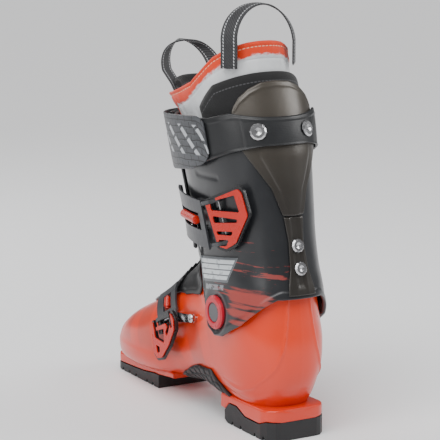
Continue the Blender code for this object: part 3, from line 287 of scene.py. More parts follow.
def wall_on(name, table, degrees, lower, upper, low, high, grid, relief=None, lift=None):
    """Slab at the given angles, each column of it from the lower edge to the upper one.

    grid is the row shares and both fullnesses; lift moves both faces out."""
    row, row_full, column_full = grid
    start = rib_where(table, degrees, lower(degrees) if callable(lower) else lower, high)
    end = rib_where(table, degrees, upper(degrees) if callable(upper) else upper, high)
    number = start + (end - start) * row[:, None]
    return loft_slab(name, table, number, degrees, (low, high), (row_full, column_full), relief,
                     lift(degrees) if lift else 0)


def patch_piece(name, table, numbers, side_angles, low, high, size, pitch=1.5, relief=None):
    """Slab on a loft from one rib number to another whose two side angles follow the number."""
    (column, column_full), (row, row_full) = shares(size, 0.5 * (high - low),
                                                    [int(length / pitch) for length in size])
    number = (numbers[0] + (numbers[1] - numbers[0]) * row)[:, None]
    first, last = side_angles(number)
    degrees = first + (last - first) * column
    return loft_slab(name, table, number + 0 * degrees, degrees, (low, high),
                     (row_full, column_full), relief)


def tube_piece(name, table, first, last, out, wall, inner_first, rows, columns, nose=2.4,
               relief=None):
    """Closed tube wall up a loft: a rounded nose, the outer face, a round rim, the inner face.

    The nose shrinks the first rib by cos t while it moves forward by nose * sin t."""
    degrees = np.linspace(0, 360, columns + 1)[:-1]
    t = np.linspace(math.pi / 2, 0, 9)[:-1, None, None]
    number = np.linspace(first, last, rows)[:, None]
    bulge = relief(degrees, number, rib_points(table, number, degrees)) if relief else 0
    outer = rib_points(table, number, degrees, out + bulge)
    centre = outer[0].mean(axis=0)
    cap = centre + (outer[0] - centre) * np.cos(t) - np.array((0, nose, 0)) * np.sin(t)
    turn = np.linspace(0, math.pi, 9)[1:-1, None]
    rim = rib_points(table, last + 0.06 * np.sin(turn), degrees,
                     out - wall / 2 + wall / 2 * np.cos(turn))
    inner = rib_points(table, np.linspace(last, inner_first, rows // 2)[:, None], degrees,
                       out - wall)
    centre = inner[-1].mean(axis=0)
    end = centre + (inner[-1] - centre) * np.cos(t[::-1])
    points = np.concatenate([cap, outer, rim, inner, end])
    faces = grid_faces(*points.shape[:2], closed_columns=True)
    return new_piece(name, points, faces, None, 50)


def block_piece(name, stations, half_width, bottom, top, edge=2.2):
    """Block lofted along y, each section a rectangle with rounded corners and flat ends."""
    stations = np.asarray(stations, float)
    wide, low, high = half_width(stations), bottom(stations), top(stations)
    t = np.linspace(0, math.pi / 2, 5)
    leaving, nearing = edge * (1 - np.cos(t)), edge * (1 - np.sin(t))
    side_x = np.concatenate([wide[:, None] - nearing, wide[:, None] - leaving], axis=1)
    side_z = np.concatenate([low[:, None] + leaving, high[:, None] - nearing], axis=1)
    x = np.concatenate([side_x, -side_x[:, ::-1]], axis=1)
    z = np.concatenate([side_z, side_z[:, ::-1]], axis=1)
    y = np.broadcast_to(stations[:, None], x.shape)
    ring = np.stack([x, y, z], -1)
    first, last = (ring[:1] * 0 + ring[end].mean(axis=0) for end in (0, -1))
    points = np.concatenate([first, ring, last])
    return new_piece(name, points, grid_faces(*points.shape[:2], closed_columns=True), None, 35)


def strap_piece(name, path, across, width, thickness):
    """Webbing along a path, as wide as it says along the direction given at each point."""
    across = across / np.linalg.norm(across, axis=1)[:, None]
    normal = np.cross(np.gradient(path, axis=0), across)
    normal /= np.linalg.norm(normal, axis=1)[:, None]
    share, full = spread(14, 0.5 * thickness / width)
    side = (share - 0.5)[None, :, None] * width
    centre = path[:, None, :] + across[:, None, :] * side
    lift = normal[:, None, :] * thickness / 2
    ends = np.ones(len(path))
    ends[[0, -1]] = 0
    return slab_piece(name, centre + lift, centre - lift, ends, full)


SLOT_OF = {row["node"]: row["material_slot"] for row in frame["record"]["subparts"]}
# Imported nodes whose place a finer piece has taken.
REPLACED = set()


def fit_piece(obj, body, *nodes, finish=None):
    """Ride on a body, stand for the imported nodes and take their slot's finish."""
    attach(obj, body)
    if nodes:
        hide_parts(*nodes)
        REPLACED.update(nodes)
    obj.data.materials.append(FINISHES[finish or SLOT_OF[nodes[0]]]())


# ---- shader expressions
class Wire:
    """A socket or a number that Python operators can join; each operator adds a Math node."""

    def __init__(self, board, value):
        self.board, self.value = board, value

    def math(self, operation, *others, swap=False):
        """Math node of this wire and others, in the opposite order if swapped."""
        values = [self.value] + [o.value if isinstance(o, Wire) else o for o in others]
        if swap:
            values.reverse()
        return self.board.node("Math", {"operation": operation}, dict(enumerate(values)))

    def __add__(self, other):
        return self.math("ADD", other)

    def __sub__(self, other):
        return self.math("SUBTRACT", other)

    def __rsub__(self, other):
        return self.math("SUBTRACT", other, swap=True)

    def __mul__(self, other):
        return self.math("MULTIPLY", other)

    def __truediv__(self, other):
        return self.math("DIVIDE", other)

    def __rtruediv__(self, other):
        return self.math("DIVIDE", other, swap=True)

    __radd__ = __add__
    __rmul__ = __mul__

    def above(self, start, end):
        """Smooth step from 0 at start to 1 at end; it may run downwards."""
        return self.board.node("MapRange", {"interpolation_type": "SMOOTHSTEP"},
                               {"Value": self, "From Min": start, "From Max": end})


class Board:
    """Node tree of one finish, with its coordinates and its Principled BSDF."""

    def __init__(self, name, **constants):
        self.material = bpy.data.materials.new(name)
        self.material.use_nodes = True
        self.tree = self.material.node_tree
        self.shader = self.tree.nodes["Principled BSDF"]
        for key, value in constants.items():
            self.shader.inputs[key.replace("_", " ")].default_value = value

    def node(self, kind, settings=None, inputs=None, output=0):
        """Add a node: its settings first, then its inputs, and return one output."""
        made = self.tree.nodes.new("ShaderNode" + kind)
        for key, value in (settings or {}).items():
            setattr(made, key, value)
        for key, value in (inputs or {}).items():
            self.feed(made.inputs[key], value)
        return Wire(self, made.outputs[output])

    def feed(self, socket, value):
        """Link a wire to a socket, or set the socket to a number or a colour."""
        value = value.value if isinstance(value, Wire) else value
        if isinstance(value, bpy.types.NodeSocket):
            self.tree.links.new(value, socket)
        else:
            if socket.type == "RGBA" and len(value) == 3:
                value = (*value, 1)
            socket.default_value = value

    def coordinates(self, scale=(1, 1, 1), turn=(0, 0, 0), uv=False):
        """Object coordinates or UV, in metres, scaled and turned."""
        source = self.node("TexCoord", output=2 if uv else 3)
        return self.node("Mapping", {}, {"Vector": source, "Scale": scale, "Rotation": turn})

    def axes(self, uv=False):
        """The three coordinates as wires."""
        parts = self.tree.nodes.new("ShaderNodeSeparateXYZ")
        self.feed(parts.inputs[0], self.coordinates(uv=uv))
        return [Wire(self, out) for out in parts.outputs]

    def noise(self, scale, detail=3.0, source=None, roughness=0.55):
        """Clouds from 0 to 1, on object coordinates unless a source is given."""
        return self.node("TexNoise", {}, {"Vector": source or self.coordinates(),
                                          "Scale": scale, "Detail": detail,
                                          "Roughness": roughness})

    def mix(self, mask, first, second):
        """Colour first where the mask is 0 and second where it is 1."""
        made = self.tree.nodes.new("ShaderNodeMix")
        made.data_type = "RGBA"
        self.feed(made.inputs[0], mask)
        self.feed(made.inputs[6], first)
        self.feed(made.inputs[7], second)
        return Wire(self, made.outputs[2])

    def color(self, value):
        """Feed the base colour."""
        self.feed(self.shader.inputs["Base Color"], value)

    def rough(self, value):
        """Feed the roughness."""
        self.feed(self.shader.inputs["Roughness"], value)

    def bump(self, height, depth_mm, strength=1.0):
        """Bump whose height of 1 stands for the depth in millimetres."""
        made = self.node("Bump", {}, {"Height": height, "Distance": depth_mm * MM,
                                      "Strength": strength})
        self.feed(self.shader.inputs["Normal"], made)


def stripe(wire, pitch, width):
    """1 inside a line of the width that repeats at the pitch, 0 outside."""
    phase = (wire / pitch).math("FRACT")
    half = width / pitch / 2
    return (phase - 0.5).math("ABSOLUTE").above(half * 1.25, half * 0.8)


def in_band(wire, low, high, soft):
    """1 between low and high, 0 outside, with soft borders."""
    return wire.above(low - soft, low + soft) * wire.above(high + soft, high - soft)


# ---- finishes
def shell_finish():
    """Glossy orange that deepens towards the sole, with faint smoky patches on the outer side."""
    settings = bpy.context.scene.ski_boot
    board = Board("shell", Specular_IOR_Level=0.5, Coat_Weight=0.3, Coat_Roughness=0.15)
    x, y, z = board.axes()
    low = z.above(0.10, 0.03)
    base = board.mix(low * 0.6 + board.noise(9, 2) * 0.25, settings.shell_color,
                     (0.60, 0.022, 0.0006))
    smoke = (in_band(y, -0.225, -0.060, 0.012) * in_band(z, 0.048, 0.104, 0.006)
             * stripe(y + z * 0.3, 0.046, 0.026))
    side = x.above(0.030, 0.036)
    board.color(board.mix(smoke * side * 0.26, base, (0.10, 0.055, 0.045)))
    board.rough(board.noise(60, 3) * 0.14 + 0.24)
    board.bump(board.noise(260, 4), 0.04)
    return board.material


def cuff_finish():
    """Near-black plastic with a red scratched patch behind the pivot and a pale plain badge."""
    board = Board("cuff", Specular_IOR_Level=0.55, Coat_Weight=0.3, Coat_Roughness=0.22)
    x, y, z = board.axes()
    base = board.mix(board.noise(12, 3), (0.0085, 0.0095, 0.0115), (0.020, 0.021, 0.024))
    outer = x.above(0.0, 0.004)
    # Scratches lie level: the noise is stretched along y.
    scratch = board.noise(30, 8, board.coordinates((0.5, 0.16, 4.2)), 0.72)
    patch = in_band(y, -0.014, 0.036, 0.012) * in_band(z, 0.106, 0.146, 0.007)
    wide = in_band(y, -0.045, 0.050, 0.014) * in_band(z, 0.100, 0.196, 0.012)
    solid = (patch * 0.30 + scratch).above(0.66, 0.78)
    lines = (wide * 0.15 + scratch).above(0.725, 0.745)
    mark = (solid * 0.85 + lines * 0.7).math("MINIMUM", 1) * outer
    base = board.mix(mark, base, board.mix(scratch, (0.50, 0.045, 0.030), (0.22, 0.030, 0.024)))
    # The badge is a trapezoid that leans with the cuff.
    down = z * -1 + 0.1680 + (y + 0.038) * 0.135
    half = down * -0.45 + 0.0325
    across = (y + 0.0375).math("ABSOLUTE")
    badge = in_band(down, 0.0, 0.0235, 0.0003) * (half - across).above(-0.0003, 0.0003)
    inner = in_band(down, 0.0022, 0.0213, 0.0003) * (half - across).above(0.0019, 0.0025)
    worn = board.noise(160, 5, None, 0.7)
    bars = stripe(down + 0.0012, 0.0052, 0.0011) * inner
    plate = board.mix(worn.above(0.52, 0.62), (0.58, 0.62, 0.64), (0.30, 0.33, 0.35))
    plate = board.mix((badge - inner + bars).math("MINIMUM", 1), plate, (0.10, 0.11, 0.12))
    base = board.mix(badge * outer, base, plate)
    below = (in_band(down, 0.0265, 0.0315, 0.0004) * across.above(0.0165, 0.0155)
             * worn.above(0.62, 0.50) * outer)
    base = board.mix(below * 0.7, base, (0.30, 0.32, 0.34))
    board.color(base)
    board.rough(board.noise(80, 3) * 0.16 + 0.24 + mark * 0.25)
    board.bump(board.noise(320, 4), 0.04)
    return board.material


def bronze_with_painted_sheen():
    """Dark bronze, lightening towards the top of the spoiler as a painted highlight for the sheen
    there.
    """
    board = Board("spine", Specular_IOR_Level=0.6, Coat_Weight=0.25, Coat_Roughness=0.25,
                  Metallic=0.35)
    z = board.axes()[2]
    # Painted highlight: the dark bronze lightens from z 0.215 m to 0.310 m to stand for the sheen on
    # the upper spoiler.
    base = board.mix(z.above(0.215, 0.310), (0.030, 0.026, 0.022), (0.074, 0.063, 0.050))
    board.color(board.mix(board.noise(30, 2) * 0.4, base, (0.022, 0.019, 0.016)))
    board.rough(board.noise(70, 3) * 0.16 + 0.30)
    board.bump(board.noise(300, 4), 0.04)
    return board.material


def plain_plastic(name, color, rough, grain):
    """Moulded plastic of one colour with faint clouds and a fine grain."""
    board = Board(name, Specular_IOR_Level=0.5)
    dark = tuple(c * 0.7 for c in color)
    board.color(board.mix(board.noise(24, 3), color, dark))
    board.rough(board.noise(90, 3) * 0.18 + (rough - 0.09))
    board.bump(board.noise(380, 4), grain)
    return board.material


def steel_finish():
    """Bare steel with faint clouds."""
    board = Board("steel", Metallic=1.0, Specular_IOR_Level=0.5)
    board.color(board.mix(board.noise(20, 2), (0.62, 0.62, 0.63), (0.42, 0.42, 0.44)))
    board.rough(board.noise(140, 4) * 0.18 + 0.16)
    board.bump(board.noise(500, 3), 0.02)
    return board.material


def weave(u, v, pitch):
    """Height of a plain weave: warp and weft crossing at the pitch."""
    a = (u * (2 * math.pi / pitch)).math("SINE")
    b = (v * (2 * math.pi / pitch)).math("SINE")
    return a * b * 0.5 + 0.5


def liner_finish():
    """Knit whose orange rim has a torn lower border over a pale grey field; all on UV.

    U runs round the collar from its front outer edge; V is the depth below the rim."""
    board = Board("liner", Specular_IOR_Level=0.3, Sheen_Weight=0.2)
    u, v, _ = board.axes(uv=True)
    _, y, z = board.axes()
    depth = v * -1
    ragged = board.noise(110, 6, board.coordinates((0.5, 1, 1), (0.4, 0, 0), uv=True), 0.78)
    orange = board.mix(board.noise(40, 3), bpy.context.scene.ski_boot.rim_color,
                       (0.62, 0.028, 0.002))
    white = board.mix(board.noise(50, 4), (0.80, 0.81, 0.82), (0.52, 0.54, 0.56))
    rim = (depth + ragged * 0.016 - y.above(-0.06, -0.13) * 0.005).above(0.0225, 0.0195)
    front = (y * -1 - (z - 0.30) * 0.25 + ragged * 0.016).above(0.1215, 0.1240)
    color = board.mix((rim + front).math("MINIMUM", 1), white, orange)
    stitch = in_band(depth, 0.0046, 0.0055, 0.0002) * stripe(u, 0.0034, 0.0022)
    board.color(board.mix(stitch, color, (0.85, 0.45, 0.30)))
    cloth = weave(u, v, KNIT_PITCH)
    board.rough(cloth * 0.15 + 0.6)
    board.bump(cloth + board.noise(900, 2) * 0.5 + stitch, 0.12)
    return board.material


def padded_finish(name, color):
    """Closed knit on UV with a stitched line along the upper edge."""
    board = Board(name, Specular_IOR_Level=0.3, Sheen_Weight=0.15)
    u, v, _ = board.axes(uv=True)
    dark = tuple(c * 0.55 for c in color)
    base = board.mix(board.noise(70, 3), color, dark)
    stitch = in_band(v * -1, 0.0075, 0.0085, 0.0002) * stripe(u, 0.0036, 0.0024)
    board.color(board.mix(stitch, base, (0.07, 0.07, 0.075)))
    cloth = weave(u, v, KNIT_PITCH)
    board.rough(cloth * 0.15 + 0.62)
    board.bump(cloth + board.noise(800, 2) * 0.6 + stitch, 0.15)
    return board.material


def strap_finish():
    """Satin black strap with fine moulded ribs along it."""
    board = Board("strap", Specular_IOR_Level=0.5)
    v = board.axes(uv=True)[1]
    board.color(board.mix(board.noise(30, 3), (0.0085, 0.009, 0.010), (0.018, 0.019, 0.021)))
    rib = (v * (2 * math.pi / 0.0016)).math("SINE") * 0.5 + 0.5
    board.rough(board.noise(90, 3) * 0.2 + 0.30)
    board.bump(rib * 0.3 + board.noise(500, 3), 0.06)
    return board.material


def webbing_finish():
    """Black webbing with level ribs and a pale dashed line woven in near each edge."""
    board = Board("webbing", Specular_IOR_Level=0.4, Sheen_Weight=0.15)
    u, v, _ = board.axes(uv=True)
    base = board.mix(board.noise(60, 3), (0.010, 0.010, 0.011), (0.024, 0.024, 0.027))
    dash = (in_band(u, 0.0024, 0.0034, 0.0001) + in_band(u, 0.0131, 0.0141, 0.0001))
    dash = dash.math("MINIMUM", 1) * stripe(v, 0.0030, 0.0017)
    rib = (v * (2 * math.pi / 0.0030)).math("SINE") * 0.5 + 0.5
    base = board.mix(rib * 0.5, base, (0.045, 0.046, 0.050))
    board.color(board.mix(dash, base, (0.55, 0.56, 0.58)))
    board.rough(rib * 0.12 + 0.5)
    board.bump(rib + dash * 0.4, 0.25)
    return board.material


def strap_print_finish():
    """Grey staggered courses with slanting pale facets; it stands for no mark."""
    board = Board("strap_print", Specular_IOR_Level=0.45)
    u, v, _ = board.axes(uv=True)
    shift = (v / 0.0064).math("FLOOR").math("MODULO", 2) * 0.0065
    wave = board.noise(60, 2, board.coordinates(uv=True)) * 0.003
    joint = (stripe(v + wave, 0.0064, 0.0008) + stripe(u + shift + wave, 0.013, 0.0008))
    joint = joint.math("MINIMUM", 1)
    tone = board.noise(95, 2, board.coordinates((1, 2, 1), uv=True))
    base = board.mix(tone, (0.028, 0.030, 0.034), (0.105, 0.110, 0.120))
    base = board.mix(joint, base, (0.008, 0.008, 0.009))
    # Facets: slanting bands cut by a counter-slanting band, between two levels.
    facet = (stripe(u * 0.9 + v * 0.8, 0.024, 0.0060) * in_band(v * -1, 0.009, 0.038, 0.0006)
             * (1 - stripe(u * 0.7 - v * 1.2, 0.019, 0.0040)))
    board.color(board.mix(facet * 0.9, base, (0.50, 0.52, 0.55)))
    board.rough(tone * 0.2 + 0.32)
    board.bump(joint * -1 + facet * 0.4, 0.18)
    return board.material


# Colour, roughness and depth of grain of the plain plastics.
PLASTICS = {
    "sole": ((0.0105, 0.0105, 0.012), 0.5, 0.12),
    "soft_plastic": ((0.0085, 0.0085, 0.0095), 0.38, 0.08),
    "buckle_dark": ((0.014, 0.0145, 0.016), 0.28, 0.05),
    "buckle_grey": ((0.052, 0.054, 0.060), 0.32, 0.03),
    "ring": ((0.56, 0.014, 0.032), 0.3, 0.03),
    "cap": ((0.085, 0.085, 0.092), 0.34, 0.03),
}
FINISHES = {
    "shell": shell_finish,
    "cuff": cuff_finish,
    "spine": bronze_with_painted_sheen,
    "buckle_red": lambda: plain_plastic("buckle_red", bpy.context.scene.ski_boot.buckle_color,
                                        0.28, 0.03),
    "steel": steel_finish,
    "liner_fabric": liner_finish,
    "padding": lambda: padded_finish("padding", (0.011, 0.011, 0.012)),
    "tongue": lambda: padded_finish("tongue", (0.010, 0.010, 0.011)),
    "webbing": webbing_finish,
    "strap_band": strap_finish,
    "strap_print": strap_print_finish,
    "foam": lambda: padded_finish("foam", (0.045, 0.045, 0.05)),
    **{name: partial(plain_plastic, name, *row) for name, row in PLASTICS.items()},
}


# ---- shapes
def shell_relief(degrees, number, place):
    """Raised seams, creases and steps of the lower shell, in millimetres out."""
    x, y, z = np.moveaxis(place, -1, 0)
    seam_height = bpy.context.scene.ski_boot.seam_height / MM
    # A raised seam runs down beside the heel and forward above the sole.
    aside = np.minimum(degrees, 360 - degrees)
    seam = np.interp(number, (8.6, 9.2, 9.9, 10.6, 11.3, 12.8), (118, 127, 140, 153, 161, 167))
    out = seam_height * hump(aside - seam, 0, 1.5) * ramp(number, 8.5, 8.9)
    # Moulded creases round the heel.
    out = out - 0.7 * hump(z, 33 + 0.0012 * (y - 10) ** 2, 1.6) * ramp(y, -75, -45)
    out = out - 0.5 * hump(z, 44 + 0.0022 * (y - 6) ** 2, 1.3) * ramp(y, -52, -30)
    # A shallow step over the toe box, and a line across it.
    out = out + 0.9 * ramp(z, 46, 41) * ramp(y, -150, -185) * ramp(z, 20, 26)
    out = out - 0.6 * hump(y + 0.10 * z, -236, 1.6) * ramp(z, 40, 52)
    # Parting line up the middle of the heel.
    return out + 0.25 * hump(x, 0, 0.8) * ramp(y, 0, 20)


def pivot_disc(place):
    """1 over each pivot ring's recess, 0 outside it."""
    r = np.hypot(place[..., 1] - FLEX_PIVOT[0], place[..., 2] - FLEX_PIVOT[1])
    return ramp(r, 20.0, 17.2)


def cuff_lift(degrees):
    """Step out of the outer flap and step in of the flap under it."""
    return FLAP_STEP * (ramp(degrees, 300, 345) - 1 + ramp(degrees, 35, 80))


def cuff_relief(degrees, number, place):
    """Pivot recesses, the raised rim round each pivot, and the moulded lines of the cuff."""
    x, y, z = np.moveaxis(place, -1, 0)
    disc = pivot_disc(place)
    out = -(np.abs(x) - 49.9) * disc
    r = np.hypot(y - FLEX_PIVOT[0], z - FLEX_PIVOT[1])
    out = out + 0.5 * hump(r, 22.5, 1.3) * (z > 80)
    # Groove along the front flap's edge, and a slot above the upper buckle.
    turn = degrees - 408
    out = out - 0.6 * hump(turn, -5.5, 0.9)
    slot = ramp(degrees, 87, 89) * ramp(degrees, 112, 110)
    out = out - 0.9 * slot * hump(z, 245.5, 2.0)
    # A soft step that follows the lower edge.
    edge = np.interp(y, *np.transpose(CUFF_LOWER_EDGE))
    out = out + 0.7 * ramp(z - edge, 9, 6.5) * ramp(r, 19, 24)
    # Badge plate on the outer side, rounded and plain.
    down = 168 - z + 0.135 * (y + 38)
    inside = np.minimum(np.minimum(down, 23.5 - down), 32.5 - 0.45 * down - np.abs(y + 37.5))
    out = out + 0.5 * ramp(inside, -0.8, 0.4) * (x > 0)
    return out


def spoiler_foot(degrees):
    """Height of the spoiler's lower edge."""
    return np.interp(np.abs(degrees - 180), *SPOILER_FOOT)


def spoiler_top(degrees):
    """Height of the spoiler's arched upper edge."""
    return np.interp(np.abs(degrees - 180), *SPOILER_TOP)


def spoiler_relief(degrees, number, place):
    """Wedge that narrows downwards, with raised rims beside it and round the arched top."""
    z = place[..., 2]
    aside = np.abs(degrees - 180)
    half = np.interp(z, (214, 239, 269, 340), (4, 9, 22, 30))
    below_strap = ramp(z, 282, 268)
    wedge = ramp(half - aside, -0.5, 2.5)
    rim = hump(aside, half, 1.2)
    arch = hump(spoiler_top(degrees) - z, 4.0, 1.3) * ramp(z, 309, 312)
    return (0.9 * wedge + 0.6 * rim) * below_strap + 0.55 * arch


def strut_relief(degrees, number, place):
    """Sunk middle between two raised edges."""
    aside = np.abs(degrees - 180)
    return -1.1 * ramp(aside, 3.4, 2.2) * ramp(place[..., 2], 147, 152) + 0.4 * hump(aside, 5, 0.8)


def cover_relief(degrees, number, place):
    """Soft folds across the instep and a raised border."""
    x, y, z = np.moveaxis(place, -1, 0)
    folds = 0.7 * np.sin((z - 0.35 * y) * 0.30 + 0.015 * np.abs(x)) * ramp(z, 118, 135)
    side = np.interp(number, *INSTEP_REACH)
    border = 0.6 * hump(side - np.abs(degrees), 3.2, 1.2)
    ridge = 0.9 * hump(np.abs(degrees), 13, 3.0) * ramp(number, 4, 5)
    return folds + border + ridge


def strap_relief(degrees, number, place):
    """Raised rails along both edges, and a step to the part round the rear."""
    z = place[..., 2]
    low, high = (np.interp(place[..., 1], *np.transpose(e))
                 for e in (STRAP_LOWER_EDGE, STRAP_UPPER_EDGE))
    share = (z - low) / (high - low)
    rails = hump(share, 0.09, 0.025) + hump(share, 0.91, 0.025)
    steps = ramp(np.abs(degrees - 178), 34, 33) * 0.35
    return 0.55 * rails + steps


def collar_relief(degrees, number, place):
    """Puffed panels between sewn channels, with a piped rim."""
    z, y = place[..., 2], place[..., 1]
    top = np.interp(y, *np.transpose(COLLAR_UPPER_EDGE))
    depth = top - z
    piping = 0.5 * hump(depth, 2.2, 1.6)
    seam = hump(depth, 5.0, 0.6) + hump(depth, 17.5, 0.7)
    puff = 0.6 * np.sin(np.clip((depth - 5) / 12.5, 0, 1) * math.pi)
    wrinkle = 0.25 * np.sin(degrees * 0.55 + 0.12 * z) * np.sin(degrees * 0.17 - 0.08 * z)
    return piping - 0.7 * seam + puff + wrinkle - 0.5


def tongue_relief(degrees, number, place):
    """Quilted channels across the tongue and a sewn border."""
    z = place[..., 2]
    channel = np.abs(np.sin(z * math.pi / 17))
    border = hump(np.abs(degrees), 43, 1.0) + hump(z, 322, 1.0)
    return 0.7 * channel - 0.8 * border - 0.5


def arch_relief(degrees, number, place):
    """Raised bricks in staggered courses, which leave a plain border."""
    course = place[..., 1] / 12.0
    shift = 0.5 * np.floor(course) % 1.0
    along = (degrees / 11.0 + shift) % 1.0
    brick = (ramp(np.abs(along - 0.5), 0.42, 0.36)
             * ramp(np.abs(course % 1.0 - 0.5), 0.40, 0.34))
    return 1.3 * brick - 0.6


def plan_half(y, half_width, end, radius):
    """Half width of a plan whose corner of the radius ends at y = end."""
    into = np.clip(y - (end - radius), 0, radius)
    return half_width - radius + np.sqrt(radius ** 2 - into ** 2)


def instep_sides(number):
    """The two side angles of the instep cover at a rib number."""
    reach = np.interp(number, *INSTEP_REACH)
    return -reach, reach


def arch_sides(number):
    """The two side angles of the arch pad at a rib number."""
    side = np.interp(number, *ARCH_SIDE)
    return side, 360 - side


def strap_pad_edge(edge, lift, side):
    """Height of one edge of the strap's pad, which follows the strap's edge.

    At the ends it bends in by r - sqrt(r^2 - d^2), a round corner; side is 1 or -1."""
    def height(degrees):
        to_end = np.minimum(degrees - PAD_SPAN[0], PAD_SPAN[1] - degrees)
        near = np.clip(PAD_CORNER - PAD_MM_PER_DEGREE * to_end, 0, PAD_CORNER)
        corner = PAD_CORNER - np.sqrt(PAD_CORNER ** 2 - near ** 2)
        number = rib_where(CUFF_RIBS, degrees, edge, 9)
        return rib_points(CUFF_RIBS, number, degrees, 9)[..., 2] + lift + side * corner
    return height


# ---- settings and steps
class AlpineBootSettings(bpy.types.PropertyGroup):
    strap_thickness: bpy.props.FloatProperty(
        name="Strap Thickness", description="Thickness of the power strap",
        default=0.0022, min=0.001, max=0.0026, unit="LENGTH")
    webbing_thickness: bpy.props.FloatProperty(
        name="Webbing Thickness", description="Thickness of the pull loops",
        default=0.0016, min=0.0008, max=0.002, unit="LENGTH")
    seam_height: bpy.props.FloatProperty(
        name="Seam Height", description="How far the seams of the lower shell stand out",
        default=0.0014, min=0.0, max=0.002, unit="LENGTH")
    edge_rounding: bpy.props.FloatProperty(
        name="Edge Rounding", description="Rounding of the buckles' and pads' edges",
        default=0.00035, min=0.0001, max=0.0006, unit="LENGTH")
    shell_color: bpy.props.FloatVectorProperty(
        name="Shell Colour", description="Main colour of the lower shell",
        default=(0.78, 0.037, 0.0008), min=0.0, max=1.0, subtype="COLOR")
    buckle_color: bpy.props.FloatVectorProperty(
        name="Buckle Colour", description="Colour of the levers' faces and the barrels",
        default=(0.62, 0.016, 0.004), min=0.0, max=1.0, subtype="COLOR")
    rim_color: bpy.props.FloatVectorProperty(
        name="Rim Colour", description="Main colour of the inner boot's rim",
        default=(0.80, 0.045, 0.002), min=0.0, max=1.0, subtype="COLOR")


class BOOT_OT_lower_shell(bpy.types.Operator):
    """Lower shell with its creases and its two lug blocks"""
    bl_idname = "ski_boot.lower_shell"
    bl_label = "Lower Shell"

    def execute(self, context):
        shell = tube_piece("fine_shell", SHELL_RIBS, 0, SHELL_TOP, 0, SHELL_WALL, 1.3, 170, 270,
                           relief=shell_relief)
        fit_piece(shell, "shell", "lower_shell")
        heel = block_piece(
            "fine_heel_lug", np.linspace(-53, 37, 90), lambda y: plan_half(y, 33.5, 37.5, 17),
            lambda y: np.interp(y, *np.transpose(HEEL_PAD_TOP)) + PAD_GAP,
            lambda y: np.interp(y, (-53, 37), (28, 30)))
        toe = block_piece(
            "fine_toe_lug", np.linspace(-279, -150, 110), lambda y: plan_half(-y, 34.5, 279.5, 12),
            lambda y: np.interp(y, *np.transpose(TOE_PAD_TOP)) + PAD_GAP,
            lambda y: np.interp(y, (-279, -266, -240, -150), (19, 19, 23, 24)))
        for block in (heel, toe):
            fit_piece(block, "shell", finish="shell")
        return {"FINISHED"}


class BOOT_OT_cuff(bpy.types.Operator):
    """Cuff, rear spoiler and strut"""
    bl_idname = "ski_boot.cuff"
    bl_label = "Cuff and Spine"

    def execute(self, context):
        (column, column_full), (row, row_full) = shares((380, 190), CUFF_WALL / 2, (290, 132))
        degrees = 12 + 396 * column
        cuff = wall_on("fine_cuff", CUFF_RIBS, degrees, CUFF_LOWER_EDGE, CUFF_UPPER_EDGE,
                       -CUFF_WALL, 0, (row, row_full, column_full), cuff_relief, cuff_lift)
        fit_piece(cuff, "cuff", "cuff")
        spoiler = wall_piece("fine_spoiler", CUFF_RIBS, (137, 223),
                             spoiler_foot, spoiler_top, *SPOILER_FACES, (80, 110), 1.0,
                             spoiler_relief)
        fit_piece(spoiler, "cuff", "rear_spoiler")
        (column, column_full), (row, row_full) = shares((16, 75), 1.3, (24, 80))
        height = (141 + 72 * row)[:, None]
        degrees = 180 + np.interp(height, *STRUT_HALF) * (2 * column - 1)
        number = rib_where(CUFF_RIBS, degrees, height + 0 * degrees, 3)
        strut = loft_slab("fine_strut", CUFF_RIBS, number, degrees, STRUT_FACES,
                          (row_full, column_full), strut_relief)
        fit_piece(strut, "cuff", "rear_strut")
        return {"FINISHED"}


class BOOT_OT_covers(bpy.types.Operator):
    """Soft instep cover and the treaded pad under the arch"""
    bl_idname = "ski_boot.covers"
    bl_label = "Instep Cover and Arch Pad"

    def execute(self, context):
        cover = patch_piece("fine_instep_cover", SHELL_RIBS, (3.1, 12.8), instep_sides,
                            *COVER_FACES, (95, 150), 1.0, cover_relief)
        fit_piece(cover, "shell", "instep_cover")
        pad = patch_piece("fine_arch_pad", SHELL_RIBS, (5.95, 8.34), arch_sides,
                          *ARCH_PAD_FACES, (120, 100), 1.0, arch_relief)
        fit_piece(pad, "shell", "arch_sole_pad")
        return {"FINISHED"}


class BOOT_OT_strap(bpy.types.Operator):
    """Power strap and its printed pad"""
    bl_idname = "ski_boot.strap"
    bl_label = "Power Strap"

    def execute(self, context):
        thickness = context.scene.ski_boot.strap_thickness / MM
        strap = wall_piece("fine_strap", CUFF_RIBS, (64, 415), STRAP_LOWER_EDGE,
                           STRAP_UPPER_EDGE, STRAP_OUT, STRAP_OUT + thickness, (430, 45), 1.1,
                           strap_relief)
        fit_piece(strap, "cuff", "power_strap", finish="strap_band")
        pad = wall_piece("fine_strap_pad", CUFF_RIBS, PAD_SPAN,
                         strap_pad_edge(STRAP_LOWER_EDGE, -1.5, 1),
                         strap_pad_edge(STRAP_UPPER_EDGE, 2, -1), *STRAP_PAD_FACES, (180, 50), 1.0)
        fit_piece(pad, "cuff", "strap_pad")
        return {"FINISHED"}


